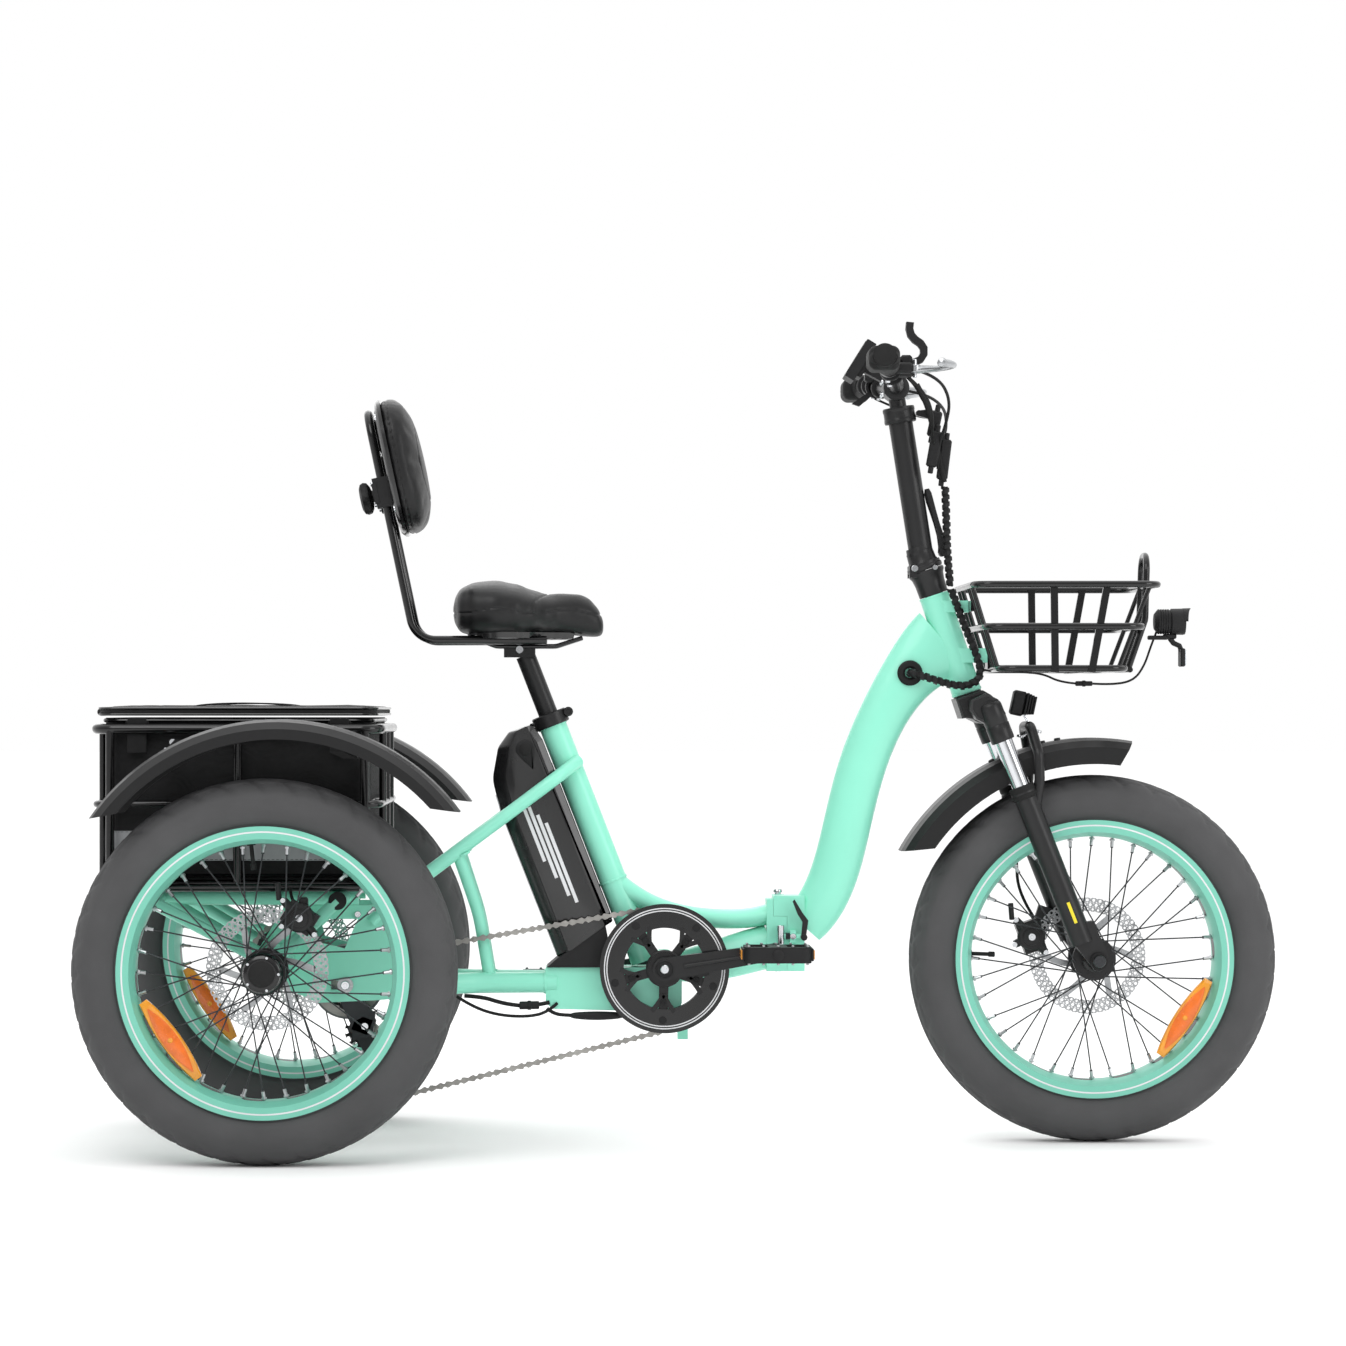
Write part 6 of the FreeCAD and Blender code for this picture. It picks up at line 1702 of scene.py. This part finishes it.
def dress_frame():
    """Welds, fold hardware, the seat clamp collar and the controller's wire."""
    rear, front = Builder(), Builder()
    for side in (-1, 1):
        weld_bead(rear, at(-0.345, side * 0.0625, 0.450) + at(0.004, 0, -0.006),
                  at(0.32, -side * 0.26, -0.95), 0.0098, 0.0020)
        weld_bead(rear, at(-0.3015, side * 0.030, 0.2600), Z_AXIS, 0.0100, 0.0020)
        weld_bead(rear, at(-0.217, side * 0.0255, 0.245), X_AXIS, 0.0162, 0.0022)
    weld_bead(rear, seat_spot(0.262, 0), SEAT_DOWN, 0.0212, 0.0022)
    weld_bead(rear, seat_spot(0.008, 0), SEAT_DOWN, 0.0222, 0.0018)
    for side in (-1, 1):
        weld_bead(rear, at(CRANK.x, side * 0.0372, CRANK.z), Y_AXIS, 0.0238, 0.0014)
    rear.piece("rear_frame_welds", MINT, "rear_frame")
    for spot in (HEAD_TOP + HEAD_DOWN * 0.002, HEAD_LOW - HEAD_DOWN * 0.002):
        weld_bead(front, spot, HEAD_DOWN, 0.0230, 0.0016)
    front.piece("front_frame_welds", MINT, "front_frame")
    bolts = Builder()
    for x, z in ((0.4385, 0.820), (0.4665, 0.745)):
        for y in (-0.012, 0.012):
            bolts.hexagon(at(x, y, z), X_AXIS, 0.0040, 0.0034)
    bolts.hexagon(at(0.1615, -0.0420, 0.316), -Y_AXIS, 0.0050, 0.0040)
    bolts.piece("front_frame_bolts", CHROME, "front_frame")
    low = Builder()
    low.hexagon(at(0.142, 0.036, 0.3800), Z_AXIS, 0.0070, 0.0050)
    low.rod(at(0.143, -0.035, 0.3035), at(0.143, -0.035, 0.3325), 0.0058, 18, 0.001)
    low.piece("fold_hardware", CHROME, "rear_frame")
    spring = Builder()
    coil = [at(0.1505 + 0.0105 * k / 60, -0.036 + 0.0046 * math.cos(k * 0.75),
               0.316 + 0.0046 * math.sin(k * 0.75)) for k in range(61)]
    spring.tube(coil, 0.0008, 6)
    spring.piece("latch_spring", DARK_STEEL, "front_frame")
    collar = Builder()
    collar.lathe(SEAT_TOP - SEAT_DOWN * 0.0124, SEAT_DOWN,
                 [(0.0170, 0), (0.0258, 0), (0.0272, 0.0015), (0.0272, 0.0190), (0.0255, 0.0207)], 40)
    collar.lathe(seat_spot(-0.004, -0.030, 0.0152), -Y_AXIS,
                 [(0.0010, 0), (0.0064, 0.0002), (0.0074, 0.0014), (0.0074, 0.0310),
                  (0.0064, 0.0322), (0.0042, 0.0322), (0.0038, 0.0306), (0.0002, 0.0306)], 28)
    collar.piece("seat_clamp_collar", BLACK, "rear_frame")
    loom_under = Builder()
    path = [(-0.214, -0.036, 0.2060), (-0.205, -0.037, 0.1975), (-0.180, -0.037, 0.1950),
            (-0.140, -0.036, 0.1945), (-0.100, -0.036, 0.1960), (-0.070, -0.035, 0.2020)]
    spline_curve("controller_wire", path, 0.0028, "rear_frame")
    loom_under.tube([at(-0.178 + 0.0045 * k, -0.0370, 0.1950 - 0.0004 * math.sin(k * 0.2))
                     for k in range(19)], lambda s: 0.0030 + 0.0038 * math.sin(math.pi * s) ** 0.5, 12)
    loom_under.piece("controller_connector", PLASTIC, "rear_frame")


def dress_stem():
    """Castings at the stem's foot, its fold bolts, collar and latch grip."""
    foot = HEAD_TOP - HEAD_DOWN * 0.0406
    made, bright = Builder(), Builder()
    made.lathe(foot - HEAD_DOWN * 0.0005, -HEAD_DOWN, [(0.0262, 0), (0.0275, 0.002), (0.0275, 0.006),
                                                       (0.0245, 0.0095), (0.0218, 0.015), (0.0212, 0.024),
                                                       (0.0196, 0.033), (0.0188, 0.037)], 44)
    made.piece("stem_casting", BLACK, "stem")
    lower = Builder()
    lower.lathe(foot + HEAD_DOWN * 0.0010, HEAD_DOWN, [(0.0270, 0), (0.0280, 0.0015), (0.0275, 0.0050),
                                                       (0.0250, 0.0095), (0.0232, 0.0200), (0.0226, 0.0385)],
                44)
    lower.piece("stem_base_casting", BLACK, "fork")
    pin = at(0.349, 0, 0.878)
    for side in (-1, 1):
        bright.hexagon(pin + Y_AXIS * side * 0.0236, Y_AXIS * side, 0.0055, 0.0040)
    bright.hexagon(foot + at(0.012, -0.0262, 0.003), -Y_AXIS, 0.0042, 0.0034)
    bright.piece("stem_fold_bolts", CHROME, "fork")
    collar = Builder()
    collar.lathe(STEM_TOP - STEM_DOWN * 0.0122, STEM_DOWN, [(0.0225, 0), (0.0246, 0.002), (0.0246, 0.0060),
                                             (0.0240, 0.0070), (0.0240, 0.0170), (0.0246, 0.0180),
                                             (0.0246, 0.0225), (0.0225, 0.0245)], 44)
    collar.piece("height_collar", BLACK, "stem")
    latch = Builder()
    spots = ((0.3915, 0.902, 0.0058), (0.3925, 0.912, 0.0062), (0.3895, 0.930, 0.0056),
             (0.3840, 0.948, 0.0050), (0.3785, 0.966, 0.0054), (0.3735, 0.982, 0.0062),
             (0.3705, 0.994, 0.0060), (0.3690, 1.001, 0.0036))
    line = [at(x, 0, z) for x, z, _ in spots]
    width = [w for _, _, w in spots]
    latch.tube([value_on(line, k / 28) for k in range(29)], lambda s: value_on(width, s), 12)
    latch.piece("stem_latch_grip", PLASTIC, "stem_latch")


def value_on(values, share):
    """The number or point that lies a share of the way along a list."""
    spot = share * (len(values) - 1)
    index = min(int(spot), len(values) - 2)
    return values[index] + (values[index + 1] - values[index]) * (spot - index)


def leg_spot(down, side):
    """A place down one fork leg's middle line."""
    return at(LEG_START.x, side * FORK_HALF, LEG_START.z) + LEG_DOWN * down


def dress_fork():
    """Crown sleeves, seals, the crown casting, axle nuts and fender bolts."""
    crown, seals, marks, nuts = Builder(), Builder(), Builder(), Builder()
    for side in (-1, 1):
        crown.lathe(leg_spot(-0.0145, side), LEG_DOWN, [(0.0150, -0.004), (0.0172, -0.002), (0.0182, 0.002),
                                                        (0.0182, 0.0290), (0.0176, 0.0300), (0.0176, 0.0308),
                                                        (0.0183, 0.0318), (0.0183, 0.0545), (0.0176, 0.0572),
                                                        (0.0150, 0.0575)], 36)
        crown.lathe(leg_spot(-0.0185, side), -LEG_DOWN, [(0.0135, 0), (0.0130, 0.003), (0.0085, 0.0042)], 6)
        seals.lathe(leg_spot(0.1165, side), LEG_DOWN, [(0.0150, -0.001), (0.0192, 0.000), (0.0200, 0.003),
                                                       (0.0200, 0.0085), (0.0188, 0.0095), (0.0188, 0.0115),
                                                       (0.0204, 0.0125), (0.0204, 0.0175), (0.0182, 0.0200)],
                    36)
        nuts.hexagon(at(AXLE_X, side * 0.0940, TYRE_RADIUS), Y_AXIS * side, 0.0098, 0.0075)
        seals.lathe(at(AXLE_X, side * 0.0938, TYRE_RADIUS), Y_AXIS * side,
                    [(0.0130, 0), (0.0130, 0.0016), (0.0110, 0.0020)], 28)
    line = [leg_spot(0.305 + 0.0042 * k, -1) - Y_AXIS * 0.0178 for k in range(9)]
    ribbon(marks, line, at(0.93, 0, 0.366), 0.0048, 0.0006)
    crown.piece("crown_sleeves", BLACK, "fork")
    casting = Builder()
    shape = ((0.0027, -0.0228), (0.0027, 0.0207), (0.0130, 0.0300), (0.0265, 0.0370), (0.0465, 0.0388),
             (0.0508, 0.0045), (0.0440, -0.0045), (0.0385, -0.0085), (0.0350, -0.0150), (0.0338, -0.0228))
    shoulder = ((0.0100, -0.0045), (0.0080, 0.0205), (0.0220, 0.0345), (0.0465, 0.0388), (0.0508, 0.0045),
                (0.0400, -0.0065), (0.0240, -0.0105))
    for outline, half in ((shape, 0.0470), (shoulder, 0.0870)):
        spots = [HEAD_LOW + HEAD_DOWN * down + HEAD_FORWARD * ahead for down, ahead in outline]
        casting.prism([(p.x, p.z) for p in spots], -half, half, 0.005)
    casting.piece("crown_casting", BLACK, "fork")
    seals.piece("fork_seals", SOFT_RUBBER, "fork_lowers")
    marks.piece("fork_mark", YELLOW, "fork_lowers")
    nuts.piece("front_axle_nuts", DARK_STEEL, "fork_lowers")
    fender_bolts = Builder()
    for degrees in (99, 103, 117):
        fender_bolts.hexagon(around(HUBS["front"], 0.3375, 0, degrees), around(at(0, 0, 0), 1, 0, degrees),
                             0.0050, 0.0042)
    fender_bolts.piece("front_fender_bolts", BLACK, "fork_lowers")


def dress_rear():
    """Rear bolts, rack caps and the derailleur's body, bolts and cable."""
    bolts, guards = Builder(), Builder()
    for side in (-1, 1):
        for x, z in ((-0.7620, 0.614), (-0.5100, 0.606)):
            bolts.hexagon(at(x, side * 0.2842, z), -Y_AXIS * side, 0.0050, 0.0042)
        for x in (-0.773, -0.500):
            bolts.hexagon(at(x, side * 0.262, 0.6021), Z_AXIS, 0.0048, 0.0036)
        for x in (-0.800, -0.522):
            guards.lathe(at(x, side * 0.252, 0.3795), Y_AXIS * side,
                         [(0.0118, -0.006), (0.0135, -0.004), (0.0135, 0.001), (0.0100, 0.0026)], 28)
        bolts.hexagon(at(JACK.x, side * 0.0990, JACK.z), Y_AXIS * side, 0.0070, 0.0050)
        for x in (-0.500, -0.585):
            bolts.hexagon(at(x, side * 0.0912, 0.352), Y_AXIS * side, 0.0052, 0.0040)
    bolts.piece("rear_bolts", CHROME, "rear_frame")
    guards.piece("rack_tube_caps", PLASTIC, "rear_frame")
    gear = Builder()
    for x, z in JOCKEYS:
        gear.hexagon(at(x, -0.0572, z), -Y_AXIS, 0.0046, 0.0034)
    gear.hexagon(at(-0.490, -0.0822, 0.182), -Y_AXIS, 0.0060, 0.0040)
    gear.piece("derailleur_bolts", CHROME, "rear_frame")
    body = Builder()
    body.box(at(-0.494, -0.071, 0.184), (0.036, 0.022, 0.034), Matrix.Rotation(math.radians(20), 3, "Y"),
             0.005)
    body.rod(at(-0.512, -0.071, 0.206), at(-0.528, -0.071, 0.214), 0.0045, 14, 0.001)
    body.piece("derailleur_body", PLASTIC, "rear_frame")
    spline_curve("derailleur_cable", [(-0.528, -0.071, 0.214), (-0.560, -0.072, 0.222),
                                      (-0.582, -0.074, 0.262), (-0.552, -0.080, 0.300),
                                      (-0.480, -0.086, 0.292), (-0.420, -0.088, 0.276),
                                      (-0.386, -0.078, 0.268)], 0.0024, "rear_frame")


def dress_spider():
    """Forked ends of the spider arms, between the bolts and the guard disc."""
    made = Builder()
    shares = [k / 8 for k in range(9)]
    for arm in SPIDER_ARMS:
        for lean in (-SPIDER_SPREAD, SPIDER_SPREAD):
            ribbon_flat(made, [around(CRANK, 0.040 + 0.028 * share, -0.0600, arm + lean * share ** 0.8)
                               for share in shares], 0.0072, 0.0052)
    made.lathe(CRANK - Y_AXIS * 0.0570, -Y_AXIS, [(0.0200, 0), (0.0285, 0), (0.0285, 0.0040),
                                                  (0.0260, 0.0060), (0.0200, 0.0060)], 44, closed=True)
    made.piece("spider_forks", BLACK, "crankset")


make_battery()
make_brakes()
make_lights()
dress_handlebar()
dress_frame()
dress_stem()
dress_fork()
dress_rear()
dress_spider()


# ---------------------------------------------------------------- camera, light and floor
def make_stage():
    """The camera, the world's light, four lamps and the white floor."""
    camera = bpy.data.cameras.new("camera")
    camera.lens = 113.2
    camera.sensor_width = 36
    camera.shift_x = 0.0728
    camera.shift_y = 0.0275
    camera.clip_end = 200
    holder = bpy.data.objects.new("camera", camera)
    holder.location = (-0.1712, -6.5, 0.6614)
    holder.rotation_euler = (math.radians(90), 0, 0)
    bpy.context.scene.collection.objects.link(holder)
    bpy.context.scene.camera = holder
    world = bpy.data.worlds.new("studio")
    world.use_nodes = True
    tree = world.node_tree
    coords = add_node(tree, "TexCoord")
    split = add_node(tree, "SeparateXYZ", {"Vector": coords.outputs["Generated"]})
    spans = [add_node(tree, "MapRange", {"Value": split.outputs[axis], "From Min": near, "From Max": far,
                                         "To Min": low, "To Max": high}) for axis, near, far, low,
             high in (("Y", -0.5, 0.5, 0.45, 1.0), ("Z", 0.2, 0.8, 0.0, 0.62))]
    total = add_node(tree, "Math", {k: span.outputs["Result"] for k, span in enumerate(spans)})
    feed(tree.nodes["Background"], {"Color": (1, 1, 1, 1), "Strength": total.outputs["Value"]})
    bpy.context.scene.world = world
    bpy.context.scene.view_settings.view_transform = "Standard"
    for name, spot, aim, size, power in (("key", (-1.2, -3.0, 3.2), (0, 0, 0.5), 2.2, 52),
                                         ("fill", (2.8, -2.2, 1.6), (0.2, 0, 0.5), 1.6, 30),
                                         ("top", (0.0, 0.4, 3.6), (0, 0, 0.5), 2.6, 10),
                                         ("back", (-1.0, 3.0, 2.2), (0, 0, 0.6), 2.4, 16)):
        light = bpy.data.lights.new(name, "AREA")
        light.energy = power
        light.size = size
        lamp = bpy.data.objects.new(name, light)
        lamp.location = spot
        lamp.rotation_euler = (Vector(aim) - Vector(spot)).to_track_quat("-Z", "Y").to_euler()
        bpy.context.scene.collection.objects.link(lamp)
    mesh = bpy.data.meshes.new("floor")
    reach = 60
    mesh.from_pydata([(-reach, -reach, 0), (reach, -reach, 0), (reach, reach, 0), (-reach, reach, 0)], [],
                     [[0, 1, 2, 3]])
    mesh.materials.append(material("floor_paper", (250, 250, 250), 0.9, vary=0.01, bump=0.02))
    floor = bpy.data.objects.new("floor", mesh)
    bpy.context.scene.collection.objects.link(floor)


make_stage()
